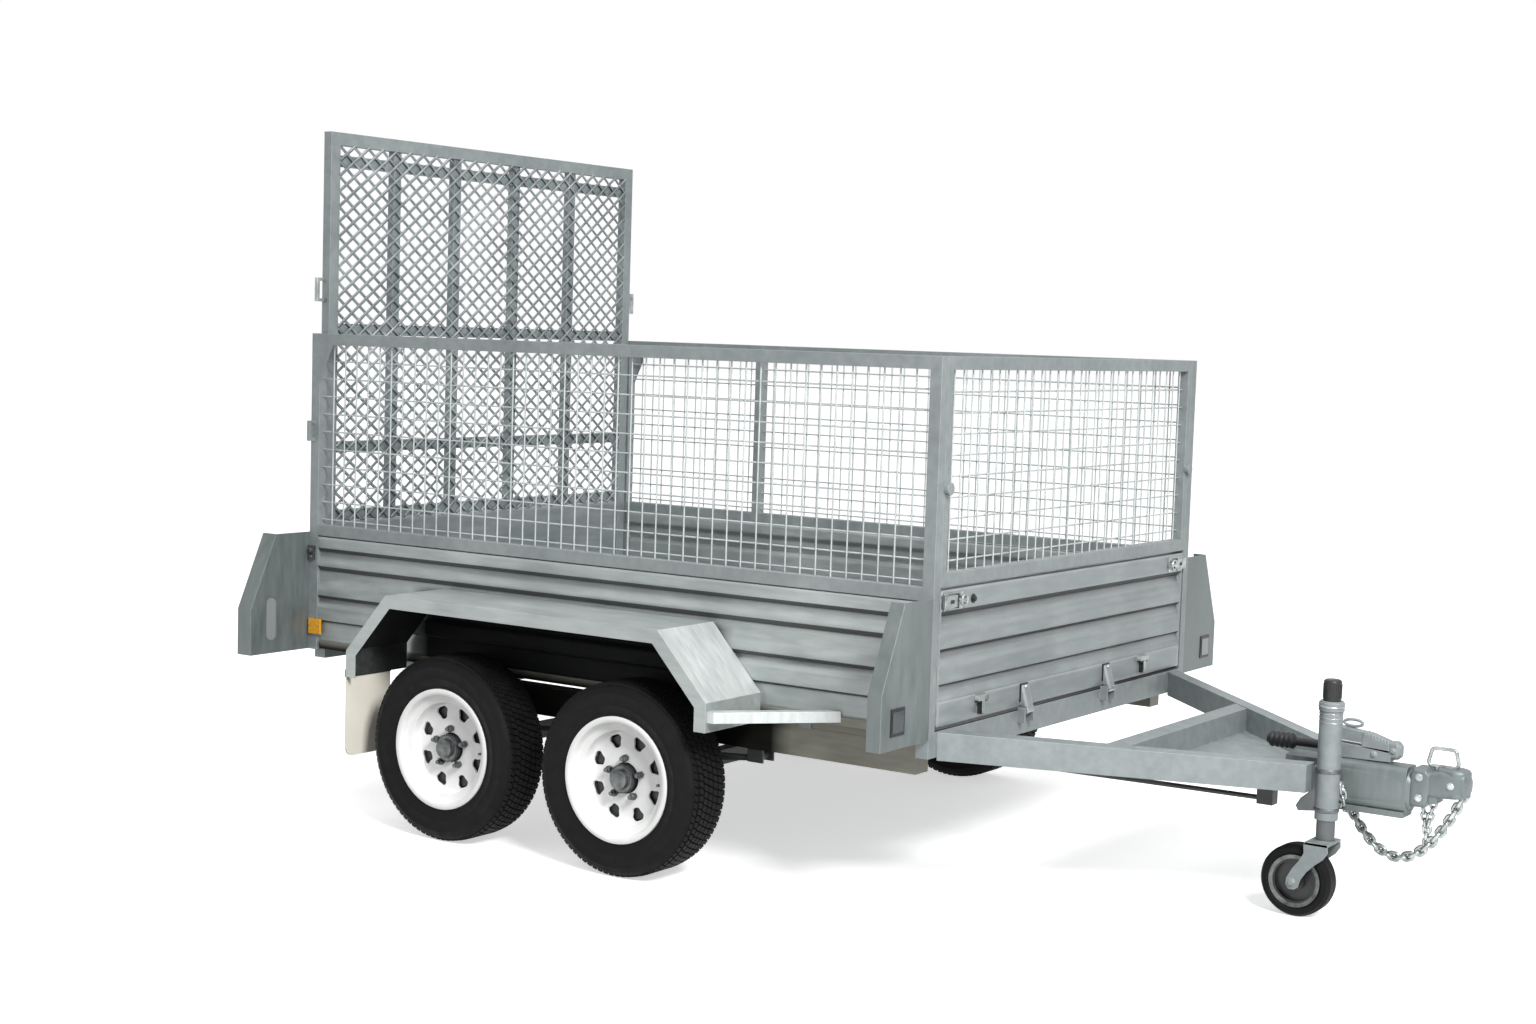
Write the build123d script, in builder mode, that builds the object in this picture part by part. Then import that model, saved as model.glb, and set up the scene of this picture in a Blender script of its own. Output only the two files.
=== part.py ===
"""Galvanised tandem-axle box trailer with a mesh cage, a drop-down front gate and a rear loading ramp.

X is forward, Y to the left and Z up, in millimetres. The origin is on the ground at the middle of the
trailer's length, and the coupling is at +X.
"""
from build123d import *
import os
from math import atan2, cos, hypot

os.makedirs("parts", exist_ok=True)

# ---- Driving dimensions ----
mid = -607.0                  # x of the point midway between the axles
axle_half_spacing = 326.0
axle_bar = 44.0               # square bar of the axles
track_half = 948.0            # wheel centre plane from the middle
tyre_radius = 274.0
tyre_half_width = 87.0

box_front = mid + 1196        # front face of the gate and its posts
box_rear = mid - 1100         # rear face of the side walls and posts
box_half = 812.0              # half the width over the side walls
floor_bottom = 498.0
side_top = 832.0              # top of the side walls
gate_top = 862.0              # top of the front gate
cage_top = 1476.0
ramp_top = 2112.0

sheet = 3.0                   # folded sheet walls, guards and wings
post_wide = 38.0              # corner posts along x
post_deep = 30.0              # corner posts along y
cage_tube = 35.0

# ---- Helpers: prisms from outlines in the three main planes, and a block ----


def along_x(points, x0, x1, mode=Mode.ADD):
    """Extrude an outline of (y, z) points from x0 to x1."""
    with BuildSketch(Plane.YZ.offset(x0)) as outline:
        with BuildLine():
            Polyline(*points, close=True)
        make_face()
    extrude(outline.sketch, amount=x1 - x0, mode=mode)


def along_y(points, y0, y1, mode=Mode.ADD):
    """Extrude an outline of (x, z) points between two values of y."""
    low, high = sorted((y0, y1))
    with BuildSketch(Plane.XZ.offset(-high)) as outline:
        with BuildLine():
            Polyline(*points, close=True)
        make_face()
    extrude(outline.sketch, amount=high - low, mode=mode)


def along_z(points, z0, z1, mode=Mode.ADD):
    """Extrude an outline of (x, y) points from z0 to z1."""
    with BuildSketch(Plane.XY.offset(z0)) as outline:
        with BuildLine():
            Polyline(*points, close=True)
        make_face()
    extrude(outline.sketch, amount=z1 - z0, mode=mode)


def block(x0, x1, y0, y1, z0, z1, mode=Mode.ADD):
    """Add a block between two opposite corners; y0 and y1 may come in either order."""
    with Locations(((x0 + x1) / 2, (y0 + y1) / 2, (z0 + z1) / 2)):
        Box(x1 - x0, abs(y1 - y0), z1 - z0, mode=mode)


def rod_y(x, z, radius, y0, y1, mode=Mode.ADD):
    """Add a round bar along y."""
    low, high = sorted((y0, y1))
    with BuildSketch(Plane.XZ.offset(-high)) as section:
        with Locations((x, z)):
            Circle(radius)
    extrude(section.sketch, amount=high - low, mode=mode)


def rod_z(x, y, radius, z0, z1, mode=Mode.ADD):
    """Add a round bar along z."""
    with BuildSketch(Plane.XY.offset(z0)) as section:
        with Locations((x, y)):
            Circle(radius)
    extrude(section.sketch, amount=z1 - z0, mode=mode)


def write(name, part):
    part.label = name
    export_step(part, f"parts/{name}.step")


# ---- Floor, side walls and corners ----
floor_top = floor_bottom + 4
with BuildPart() as floor:
    block(box_rear + post_wide, box_front - 44, -box_half + 14, box_half - 14, floor_bottom, floor_top)
write("floor", floor.part)

# Pressed wall below the top rail: height, depth in from the outer face.
side_swage = (
    (797, 0), (785, 11), (756, 11), (739, 0), (725, 11), (668, 11), (646, 0), (635, 11),
    (612, 11), (603, 2), (567, 2), (560, 10), (floor_bottom, 10),
)
rail_depth = 36.0
wall_rear = box_rear + post_wide
wall_front = box_front - post_wide

for side_name, s in (("left", 1), ("right", -1)):
    outline = [(box_half, side_top)]
    outline += [(box_half - d, z) for z, d in side_swage]
    outline += [(box_half - d - sheet, z) for z, d in reversed(side_swage[1:])]
    outline += [(box_half - rail_depth, 797), (box_half - rail_depth, side_top)]
    with BuildPart() as side_panel:
        along_x([(s * y, z) for y, z in outline], wall_rear, wall_front)
    write(f"side_panel_{side_name}", side_panel.part)

with BuildPart() as corner_posts:
    for x0, post_bottom in ((box_rear, 470), (box_front - post_wide, 420)):
        for s in (1, -1):
            block(x0, x0 + post_wide, s * (box_half - post_deep), s * box_half, post_bottom, side_top)
write("corner_posts", corner_posts.part)

# Wing plates that reach out from the corner posts, with an edge folded in over the wheels.
wing_top, wing_foot, wing_out = 845.0, 470.0, 1056.0
wing_edge = ((955, wing_top), (wing_out, 615), (wing_out, wing_foot))   # sloped shoulder, then straight down
wing_outline = ((box_half, wing_top), *wing_edge, (box_half, wing_foot))
with BuildPart() as corner_wings:
    for x_face, wing_fold in ((box_front, 42), (box_rear, 58)):
        x0, x1 = x_face - sheet, x_face
        f0, f1 = x_face - wing_fold, x_face
        for s in (1, -1):
            along_x([(s * y, z) for y, z in wing_outline], x0, x1)
            fold = [*wing_edge, *[(y - sheet, z) for y, z in reversed(wing_edge)]]
            along_x([(s * y, z) for y, z in fold], f0, f1)
            if x_face == box_rear:
                with BuildSketch(Plane.YZ.offset(x0)) as slot:
                    with Locations((s * 970, 580)):
                        SlotOverall(136, 42, rotation=90)
                extrude(slot.sketch, amount=sheet, mode=Mode.SUBTRACT)
write("corner_wings", corner_wings.part)

lamp_depth = 26.0
with BuildPart() as tail_lamps:
    for s in (1, -1):
        block(box_rear - sheet - lamp_depth, box_rear - sheet, s * 872, s * 1032, 510, 650)
write("tail_lamps", tail_lamps.part)

with BuildPart() as marker_lamps:
    for s in (1, -1):
        block(box_front, box_front + 12, s * 935, s * 1010, 505, 578)
        block(box_rear + 4, box_rear + 62, s * box_half, s * (box_half + 9), 518, 572)
write("marker_lamps", marker_lamps.part)

# ---- Cage: side frames on the walls, a front frame between them ----
side_cage_bottom = side_top + 4
cage_rail = 35.0
gusset = 120.0
loop_low, loop_high, loop_reach, loop_bar = 1136.0, 1200.0, 24.0, 9.0   # on the outside of each rear post
for side_name, s in (("left", 1), ("right", -1)):
    y_out, y_in = s * box_half, s * (box_half - cage_tube)
    with BuildPart() as cage_frame:
        block(box_rear, box_front, y_in, y_out, cage_top - cage_tube, cage_top)
        block(box_rear, box_front, y_in, y_out, side_cage_bottom, side_cage_bottom + cage_rail)
        for x0 in (box_rear, box_front - cage_tube):
            block(x0, x0 + cage_tube, y_in, y_out, side_top, cage_top)
        if s > 0:
            block(mid - 490, mid - 460, y_in, y_out, side_cage_bottom, cage_top)
        corner = box_rear + cage_tube
        under = cage_top - cage_tube
        along_y([(corner, under), (corner + 55, under), (corner, under - gusset)], y_out, y_out - s * sheet)
        block(box_rear + 6, box_rear + 18, y_out, y_out + s * loop_reach, loop_low, loop_high)
        block(box_rear + 6, box_rear + 18, y_out, y_out + s * (loop_reach - loop_bar), loop_low + loop_bar,
              loop_high - loop_bar, mode=Mode.SUBTRACT)
    write(f"cage_frame_{side_name}", cage_frame.part)

front_cage_bottom = gate_top + 9
front_half = box_half - cage_tube
with BuildPart() as cage_frame_front:
    x0, x1 = box_front - cage_tube, box_front
    block(x0, x1, -front_half, front_half, cage_top - cage_tube, cage_top)
    block(x0, x1, -front_half, front_half, front_cage_bottom, front_cage_bottom + cage_rail)
    for s in (1, -1):
        block(x0, x1, s * (front_half - 26), s * front_half, front_cage_bottom, cage_top)
        rod = (s * (front_half - 12), 1131)
        with BuildSketch(Plane.YZ.offset(box_front)):
            with Locations(rod):
                Circle(17)
        extrude(amount=14)
write("cage_frame_front", cage_frame_front.part)

# Welded mesh, drawn as a coarse grid: an opening spans several of the real wires.
mesh_thick = 5.0
wire_pitch, wire_rise = 49.5, 55.8
wires_across, wires_up = 4, 3
mesh_bar = 7.0


def mesh_plate(plane, width, height):
    """A grid of bars, centred on the plane's origin; width is along the plane's x."""
    across = round(width / (wire_pitch * wires_across))
    up = round(height / (wire_rise * wires_up))
    with BuildSketch(plane) as lattice:
        Rectangle(width, height)
        with GridLocations(width / across, height / up, across, up):
            Rectangle(width / across - mesh_bar, height / up - mesh_bar, mode=Mode.SUBTRACT)
    extrude(lattice.sketch, amount=mesh_thick / 2, both=True)


side_mesh_low, mesh_high = side_cage_bottom + cage_rail, cage_top - cage_tube
side_mesh_tall, side_mesh_mid = mesh_high - side_mesh_low, (mesh_high + side_mesh_low) / 2
for side_name, s in (("left", 1), ("right", -1)):
    y_mid = s * (box_half - cage_tube / 2)
    bays = ((box_rear + cage_tube, box_front - cage_tube),)
    if s > 0:
        bays = ((box_rear + cage_tube, mid - 490), (mid - 460, box_front - cage_tube))
    with BuildPart() as cage_mesh:
        for x0, x1 in bays:
            centre = ((x0 + x1) / 2, y_mid, side_mesh_mid)
            mesh_plate(Plane(origin=centre, x_dir=(1, 0, 0), z_dir=(0, -1, 0)), x1 - x0, side_mesh_tall)
    write(f"cage_mesh_{side_name}", cage_mesh.part)

front_mesh_low = front_cage_bottom + cage_rail
front_mesh_wide, front_mesh_tall = 2 * (front_half - 26), mesh_high - front_mesh_low
with BuildPart() as cage_mesh_front:
    centre = (box_front - cage_tube / 2, 0, (front_mesh_low + mesh_high) / 2)
    mesh_plate(Plane(origin=centre, x_dir=(0, 1, 0), z_dir=(1, 0, 0)), front_mesh_wide, front_mesh_tall)
write("cage_mesh_front", cage_mesh_front.part)

# ---- Front gate, hinged along its lower edge ----
gate_half = box_half - cage_tube - 6   # the cage posts stand further in than the corner posts
gate_bottom = 500.0
gate_depth = 34.0
gate_swage = (
    (806, 0), (790, 18), (752, 18), (736, 3), (706, 3), (696, 13), (668, 13), (650, 2),
    (612, 2), (606, 9), (571, 9), (565, 0), (gate_bottom, 0),
)
gate_pin_x, gate_pin_z = box_front + 16, 490.0
gate_hinges = (-290.0, 235.0)
pin_radius = 6.0
with BuildPart() as front_gate:
    outline = [(box_front, gate_top)]
    outline += [(box_front - d, z) for z, d in gate_swage]
    outline += [(box_front - d - sheet, z) for z, d in reversed(gate_swage[1:])]
    outline += [(box_front - gate_depth, 806), (box_front - gate_depth, gate_top)]
    along_y(outline, -gate_half, gate_half)
    for s in (1, -1):
        block(box_front - gate_depth + 2, box_front - 1, s * (gate_half - 4), s * gate_half,
              gate_bottom, gate_top - 2)
    for y in gate_hinges:
        along_y([(box_front - 2, 560), (box_front + 8, 560), (gate_pin_x + 9, 500),
                 (gate_pin_x + 9, gate_pin_z), (gate_pin_x - 9, gate_pin_z), (gate_pin_x - 9, 502),
                 (box_front - 2, 502)], y - 18, y + 18)
        rod_y(gate_pin_x, gate_pin_z, 10, y - 18, y + 18)
        rod_y(gate_pin_x, gate_pin_z, pin_radius + 0.5, y - 18, y + 18, mode=Mode.SUBTRACT)
    for y in (-545, 485):
        block(box_front, box_front + 14, y - 26, y + 26, 548, 562)
        block(box_front, box_front + 14, y - 6, y + 6, 512, 548)
write("front_gate", front_gate.part)

with BuildPart() as gate_latches:
    for s in (1, -1):
        block(box_front, box_front + 12, s * 700, s * gate_half, 815, 848)
        rod_y(box_front + 10, 832, 8, s * 655, s * 700)
write("gate_latches", gate_latches.part)

# ---- Chassis ----
longeron_top = 448.0
longeron_bottom = 365.0
longeron_in, longeron_out = 705.0, 770.0
with BuildPart() as side_rails:
    for s in (1, -1):
        block(box_rear + 45, box_front - 45, s * 774, s * 806, 474, floor_bottom)
write("side_rails", side_rails.part)

with BuildPart() as longerons:
    for s in (1, -1):
        block(box_rear + 400, box_front - 60, s * longeron_in, s * longeron_out,
              longeron_bottom, longeron_top)
write("longerons", longerons.part)

inner_beams = 5
with BuildPart() as crossmembers:
    for x0, z0, z1 in ((box_rear, 440, 495), (box_front - 45, 420, 488)):
        block(x0, x0 + 45, -(box_half - post_deep), box_half - post_deep, z0, z1)
    for i in range(inner_beams):
        x = box_rear + 45 + (box_front - box_rear - 90) * (i + 1) / (inner_beams + 1)
        block(x - 20, x + 20, -774, 774, longeron_top, floor_bottom)
    for y in gate_hinges:
        for e in (-1, 1):
            block(box_front, gate_pin_x + 8, y + e * 23, y + e * 29, gate_pin_z - 34, gate_pin_z + 8)
        rod_y(gate_pin_x, gate_pin_z, pin_radius, y - 29, y + 29)
write("crossmembers", crossmembers.part)

# ---- Drawbar: two beams that run in and down to the nose ----
draw_x0, draw_x1 = box_front, mid + 1985
draw_y0, draw_y1 = 765.0, 168.0      # outer face of the beams, at the box and at the nose
draw_top0, draw_top1 = 486.0, 420.0  # top of the beams, at the box and at the nose
draw_wide, draw_tall = 52.0, 75.0


def at_draw(x, start, end):
    """A value that changes evenly from start, at the box, to end, at the nose."""
    return start + (end - start) * (x - draw_x0) / (draw_x1 - draw_x0)


def draw_band(up0, up1):
    """Side outline between two heights measured from the beams' upper face."""
    return [(draw_x0 - 1, at_draw(draw_x0 - 1, draw_top0, draw_top1) + up1),
            (draw_x1 + 1, at_draw(draw_x1 + 1, draw_top0, draw_top1) + up1),
            (draw_x1 + 1, at_draw(draw_x1 + 1, draw_top0, draw_top1) + up0),
            (draw_x0 - 1, at_draw(draw_x0 - 1, draw_top0, draw_top1) + up0)]


half_angle = atan2(draw_y0 - draw_y1, draw_x1 - draw_x0)
beam_y = draw_wide / cos(half_angle)  # width of a beam measured along y
with BuildPart() as drawbar_beams:
    for s in (1, -1):
        along_z([(draw_x0, s * draw_y0), (draw_x1, s * draw_y1), (draw_x1, s * (draw_y1 - beam_y)),
                 (draw_x0, s * (draw_y0 - beam_y))], 300, 520)
    along_y(draw_band(-draw_tall, 0), -900, 900, mode=Mode.INTERSECT)
write("drawbar_beams", drawbar_beams.part)

bar_x0, bar_x1 = mid + 1530, mid + 1580
with BuildPart() as drawbar_crossbar:
    along_z([(x, s * (at_draw(x, draw_y0, draw_y1) - beam_y)) for x, s in
             ((bar_x0, 1), (bar_x1, 1), (bar_x1, -1), (bar_x0, -1))], 300, 520)
    along_y(draw_band(-draw_tall, -2), -900, 900, mode=Mode.INTERSECT)
write("drawbar_crossbar", drawbar_crossbar.part)

plate_x1 = draw_x1 - 4
with BuildPart() as nose_plate:
    along_z([(x, s * (at_draw(x, draw_y0, draw_y1) - beam_y)) for x, s in
             ((bar_x1, 1), (plate_x1, 1), (plate_x1, -1), (bar_x1, -1))], 300, 520)
    along_y(draw_band(-draw_tall, -draw_tall + 5), -900, 900, mode=Mode.INTERSECT)
write("nose_plate", nose_plate.part)

# ---- Coupling, brake lever and safety chain ----
body_x0, body_x1 = mid + 1880, mid + 2214
chain_y = 52.0                # the chain hangs on the left, clear of the jockey wheel
with BuildPart() as coupling_body:
    block(body_x0, mid + 1990, -45, 45, 362, 420)
    with BuildSketch(Plane.YZ.offset(mid + 1990)):
        with Locations((0, 364)):
            RectangleRounded(88, 124, 22)
    extrude(amount=body_x1 - mid - 1990)
    block(mid + 2020, body_x1 - 6, -38, 38, 288, 304)
    block(mid + 2020, mid + 2060, 30, chain_y + 12, 288, 300)
write("coupling_body", coupling_body.part)

head_x = mid + 2335
head_radius = 37.0
socket_radius = 25.0
with BuildPart() as coupling_head:
    block(body_x1, mid + 2240, -22, 22, 345, 395)
    block(mid + 2240, mid + 2292, -30, 30, 337, 408)
    block(mid + 2324, mid + 2352, 28, chain_y + 8, 362, 374)
    with BuildSketch(Plane.XY.offset(362)):
        with BuildLine():
            Polyline((mid + 2292, -26), (head_x, -head_radius))
            ThreePointArc((head_x, -head_radius), (head_x + head_radius, 0), (head_x, head_radius))
            Polyline((head_x, head_radius), (mid + 2292, 26), (mid + 2292, -26))
        make_face()
    extrude(amount=72)
    fillet([e for e in coupling_head.edges().group_by(Axis.Z)[-1] if e.center().X > mid + 2295], 12)
    rod_z(head_x, 0, socket_radius, 362, 400, mode=Mode.SUBTRACT)
write("coupling_head", coupling_head.part)

with BuildPart() as coupling_handle:
    with BuildSketch(Plane.XZ.offset(5)):
        with Locations((mid + 2298, 461)):
            RectangleRounded(78, 54, 16)
            RectangleRounded(54, 30, 8, mode=Mode.SUBTRACT)
    extrude(amount=-10)
write("coupling_handle", coupling_handle.part)

lever_z = 462.0
with BuildPart() as brake_housing:
    along_y([(mid + 1992, 426), (mid + 2150, 426), (mid + 2186, 436), (mid + 2186, 486),
             (mid + 2110, 500), (mid + 1992, 512)], -20, 20)
write("brake_housing", brake_housing.part)

with BuildPart() as brake_lever:
    for x0, x1, radius in ((mid + 1790, mid + 1876, 17), (mid + 1870, mid + 1992, 10)):
        with BuildSketch(Plane.YZ.offset(x0)) as section:
            with Locations((0, lever_z)):
                Circle(radius)
        extrude(section.sketch, amount=x1 - x0)
write("brake_lever", brake_lever.part)

rod_y_at, rod_radius = -96.0, 7.0
rod_bracket = (mid + 1830, mid + 1875)
with BuildPart() as brake_rod:
    for x, z in ((mid + axle_half_spacing + axle_bar / 2, 285), (rod_bracket[0] + 20, 300)):
        with BuildSketch(Plane.YZ.offset(x)):
            with Locations((rod_y_at, z)):
                Circle(rod_radius)
    loft()
    top = [(x, at_draw(x, draw_top0, draw_top1) - draw_tall) for x in rod_bracket]
    along_y([(rod_bracket[0], 286), top[0], top[1], (rod_bracket[1], 286)], rod_y_at - 20, rod_y_at + 20)
write("brake_rod", brake_rod.part)

link_wire = 6.0
link_long, link_wide = 34.0, 24.0
link_pitch = link_long - 2 * link_wire - 3.0
chain_ends = ((mid + 2034, 279.6), (mid + 2341, 353.6))
chain_drop = 152.0


def chain_point(t):
    """Point on the hanging loop, t from 0 to 1."""
    (x0, z0), (x1, z1) = chain_ends
    return x0 + (x1 - x0) * t, z0 + (z1 - z0) * t - 4 * chain_drop * t * (1 - t)


def chain_stations():
    """Parameters of the links' centres, evenly spaced along the hanging loop."""
    steps = 2000
    lengths = [0.0]
    for i in range(steps):
        a, b = chain_point(i / steps), chain_point((i + 1) / steps)
        lengths.append(lengths[-1] + hypot(b[0] - a[0], b[1] - a[1]))
    count = int(lengths[-1] / link_pitch) + 1
    targets = [lengths[-1] * (k + 0.5) / count for k in range(count)]
    return [next(i for i, v in enumerate(lengths) if v >= target) / steps for target in targets]


with BuildPart() as safety_chain:
    for k, t in enumerate(chain_stations()):
        x, z = chain_point(t)
        ahead = chain_point(t + 0.001)
        direction = Vector(ahead[0] - x, 0, ahead[1] - z).normalized()
        across = Vector(0, 1, 0) if k % 2 else direction.cross(Vector(0, 1, 0))
        with BuildSketch(Plane(origin=(x, chain_y, z), x_dir=direction, z_dir=across)):
            SlotOverall(link_long, link_wide)
            SlotOverall(link_long - 2 * link_wire, link_wide - 2 * link_wire, mode=Mode.SUBTRACT)
        extrude(amount=link_wire / 2, both=True)
write("safety_chain", safety_chain.part)

# ---- Jockey wheel ----
jockey_x, jockey_y = mid + 2026, -112.0
outer_tube, inner_tube = 31.0, 25.0   # radii
outer_low, outer_high = 272.0, 592.0
crown_top = 214.0
with BuildPart() as jockey_outer_tube:
    rod_z(jockey_x, jockey_y, outer_tube, outer_low, outer_high)
    rod_z(jockey_x, jockey_y, outer_tube + 3, 566, 588)
    rod_z(jockey_x, jockey_y, inner_tube + 0.5, outer_low, 560, mode=Mode.SUBTRACT)
write("jockey_outer_tube", jockey_outer_tube.part)

with BuildPart() as jockey_cap:
    rod_z(jockey_x, jockey_y, 24, outer_high, 650)
    fillet(jockey_cap.edges().group_by(Axis.Z)[-1], 8)
write("jockey_cap", jockey_cap.part)

with BuildPart() as jockey_clamp:
    rod_z(jockey_x, jockey_y, outer_tube + 7, 335, 405)
    block(draw_x1, jockey_x - outer_tube, -160, -112, 348, 405)
    rod_z(jockey_x, jockey_y, outer_tube, 335, 405, mode=Mode.SUBTRACT)
write("jockey_clamp", jockey_clamp.part)

pivot_radius = 12.0
with BuildPart() as jockey_inner_tube:
    rod_z(jockey_x, jockey_y, inner_tube, crown_top + 1, 480)
    rod_z(jockey_x, jockey_y, pivot_radius + 0.5, crown_top + 1, crown_top + 40, mode=Mode.SUBTRACT)
write("jockey_inner_tube", jockey_inner_tube.part)

jockey_radius = 98.0
jockey_trail = 68.0
fork_in, fork_out = 46.0, 52.0
wheel_x, wheel_z = jockey_x - jockey_trail, jockey_radius
jockey_pin = 8.0
with BuildPart() as jockey_fork:
    rod_z(jockey_x, jockey_y, 27, crown_top - 8, crown_top)
    rod_z(jockey_x, jockey_y, pivot_radius, crown_top, crown_top + 36)
    block(jockey_x - 40, jockey_x + 24, jockey_y - fork_out, jockey_y + fork_out,
          crown_top - 8, crown_top - 2)
    for s in (1, -1):
        along_y([(jockey_x + 24, crown_top - 2), (jockey_x + 24, crown_top - 40),
                 (wheel_x + 16, wheel_z - 12), (wheel_x - 16, wheel_z - 12), (wheel_x - 16, wheel_z + 14),
                 (jockey_x - 40, crown_top - 2)],
                jockey_y + s * fork_in, jockey_y + s * fork_out)
    rod_y(wheel_x, wheel_z, jockey_pin, jockey_y - fork_out - 5, jockey_y + fork_out + 5)
write("jockey_fork", jockey_fork.part)

jockey_rim_radius = 64.0
with BuildPart() as jockey_rim:
    for half, radius in ((30, jockey_rim_radius), (40, 20)):
        rod_y(wheel_x, wheel_z, radius, jockey_y - half, jockey_y + half)
    for s in (1, -1):
        with BuildSketch(Plane.XZ.offset(-(jockey_y + s * 30))):
            with Locations((wheel_x, wheel_z)):
                Circle(56)
                Circle(26, mode=Mode.SUBTRACT)
        extrude(amount=s * 16, mode=Mode.SUBTRACT)
    rod_y(wheel_x, wheel_z, jockey_pin + 0.4, jockey_y - 41, jockey_y + 41, mode=Mode.SUBTRACT)
write("jockey_rim", jockey_rim.part)

jockey_tyre_outline = ((jockey_rim_radius, -26), (jockey_rim_radius, 26), (78, 36), (90, 34), (98, 20),
                       (98, -20), (90, -34), (78, -36))
with BuildPart() as jockey_tyre:
    with BuildSketch(Plane(origin=(wheel_x, jockey_y, wheel_z), x_dir=(1, 0, 0), z_dir=(0, 0, 1))):
        with BuildLine():
            Polyline(*jockey_tyre_outline, close=True)
        make_face()
    revolve(axis=Axis((wheel_x, jockey_y, wheel_z), (0, 1, 0)))
write("jockey_tyre", jockey_tyre.part)

# ---- Ramp, hinged at the rear sill ----
ramp_half = 771.0                # stands between the cage's rear posts
ramp_in, ramp_out = box_rear + 30, box_rear - 2
ramp_bottom = 506.0
ramp_rail = 40.0
ramp_sheet_top = 875.0
ramp_pin_x, ramp_pin_z = box_rear - 18, 478.0   # outside the frame, so the closed ramp leans inward
pin_boss = 13.0
ramp_hinges = (-620.0, 0.0, 620.0)
ramp_posts = (-465.0, -175.0, 127.0, 431.0)
ramp_rails = (ramp_sheet_top, 1096.0, 1474.0, 2006.0)   # lower edges
ramp_post_wide = 34.0
with BuildPart() as ramp_frame:
    for s in (1, -1):
        block(ramp_out, ramp_in, s * (ramp_half - ramp_rail), s * ramp_half, ramp_bottom, ramp_top)
    for z in (ramp_bottom, ramp_top - ramp_rail):
        block(ramp_out, ramp_in, -ramp_half, ramp_half, z, z + ramp_rail)
    for z in ramp_rails:
        block(ramp_out, ramp_in - 8, -ramp_half + 5, ramp_half - 5, z, z + 35)
    for y in ramp_posts:
        y0, y1 = y - ramp_post_wide / 2, y + ramp_post_wide / 2
        block(ramp_out, ramp_in - 8, y0, y1, ramp_bottom + 5, ramp_top - 5)
    for y in ramp_hinges:
        along_y([(ramp_pin_x - 8, ramp_pin_z), (ramp_pin_x + 11, ramp_pin_z),
                 (ramp_pin_x + 11, ramp_bottom - 3), (ramp_out + 12, ramp_bottom + 1),
                 (ramp_out + 12, ramp_bottom + 24), (ramp_out, ramp_bottom + 24),
                 (ramp_pin_x - 8, ramp_bottom)], y - 22, y + 22)
        rod_y(ramp_pin_x, ramp_pin_z, pin_boss, y - 22, y + 22)
        rod_y(ramp_pin_x, ramp_pin_z, pin_radius + 0.5, y - 22, y + 22, mode=Mode.SUBTRACT)
write("ramp_frame", ramp_frame.part)

bay_low, bay_high = ramp_bottom + ramp_rail, ramp_sheet_top
bay_half = ramp_half - ramp_rail
with BuildPart() as ramp_sheet:
    block(ramp_in - 4, ramp_in - 1, -bay_half, bay_half, bay_low, bay_high)
write("ramp_sheet", ramp_sheet.part)

# Expanded mesh, drawn coarse: diamond openings in two sets that are half a cell apart.
cells_across, cells_up = 11, 12
strand = 10.0
mesh_width, mesh_height = 2 * bay_half, ramp_top - ramp_rail - bay_high
cell_wide, cell_high = mesh_width / cells_across, mesh_height / cells_up
shrink = strand * hypot(cell_wide, cell_high) / (cell_wide * cell_high)
half_wide, half_high = cell_wide / 2 * (1 - shrink), cell_high / 2 * (1 - shrink)
mesh_middle = Plane(origin=(ramp_in - 5, 0, bay_high + mesh_height / 2), x_dir=(0, 1, 0), z_dir=(1, 0, 0))
with BuildPart() as ramp_mesh:
    with BuildSketch(mesh_middle) as lattice:
        Rectangle(mesh_width, mesh_height)
        for across, up in ((cells_across - 1, cells_up), (cells_across, cells_up - 1)):
            with GridLocations(cell_wide, cell_high, across, up):
                Polygon((half_wide, 0), (0, half_high), (-half_wide, 0), (0, -half_high), align=None,
                        mode=Mode.SUBTRACT)
    extrude(lattice.sketch, amount=4)
write("ramp_mesh", ramp_mesh.part)

grip_low, grip_high, grip_reach, grip_bar = 1577.0, 1652.0, 40.0, 10.0
with BuildPart() as ramp_handles:
    for s in (1, -1):
        y0 = s * ramp_half
        block(ramp_out + 8, ramp_out + 20, y0, y0 + s * grip_reach, grip_low, grip_high)
        block(ramp_out + 8, ramp_out + 20, y0, y0 + s * (grip_reach - grip_bar), grip_low + grip_bar,
              grip_high - grip_bar, mode=Mode.SUBTRACT)
write("ramp_handles", ramp_handles.part)

with BuildPart() as ramp_brackets:
    for y in ramp_hinges:
        for e in (-1, 1):
            y0, y1 = y + e * 27, y + e * 33
            block(ramp_pin_x, box_rear, y0, y1, ramp_pin_z - pin_boss, ramp_pin_z + pin_boss)
            rod_y(ramp_pin_x, ramp_pin_z, pin_boss, y0, y1)
        rod_y(ramp_pin_x, ramp_pin_z, pin_radius, y - 33, y + 33)
write("ramp_brackets", ramp_brackets.part)

# ---- Mudguards over both wheels of a side, with flaps and stays ----
guard_out = 1070.0
guard_foot = 455.0
guard_outline = ((-672, guard_foot), (-672, 535), (-515, 715), (492, 715), (660, 535), (660, guard_foot))
guard_skirt = 38.0


def guard_band(inset, y0, y1):
    """Band along the guard's profile, inset deep, between two values of y."""
    high = max(y0, y1)
    deep = [(mid + x, z if z > guard_foot else z - 200) for x, z in guard_outline]
    with BuildSketch(Plane.XZ.offset(-high)) as band:
        with BuildLine():
            Polyline(*deep, close=True)
        make_face()
        offset(amount=-inset, mode=Mode.SUBTRACT, kind=Kind.INTERSECTION)
    extrude(band.sketch, amount=abs(y1 - y0))


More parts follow.
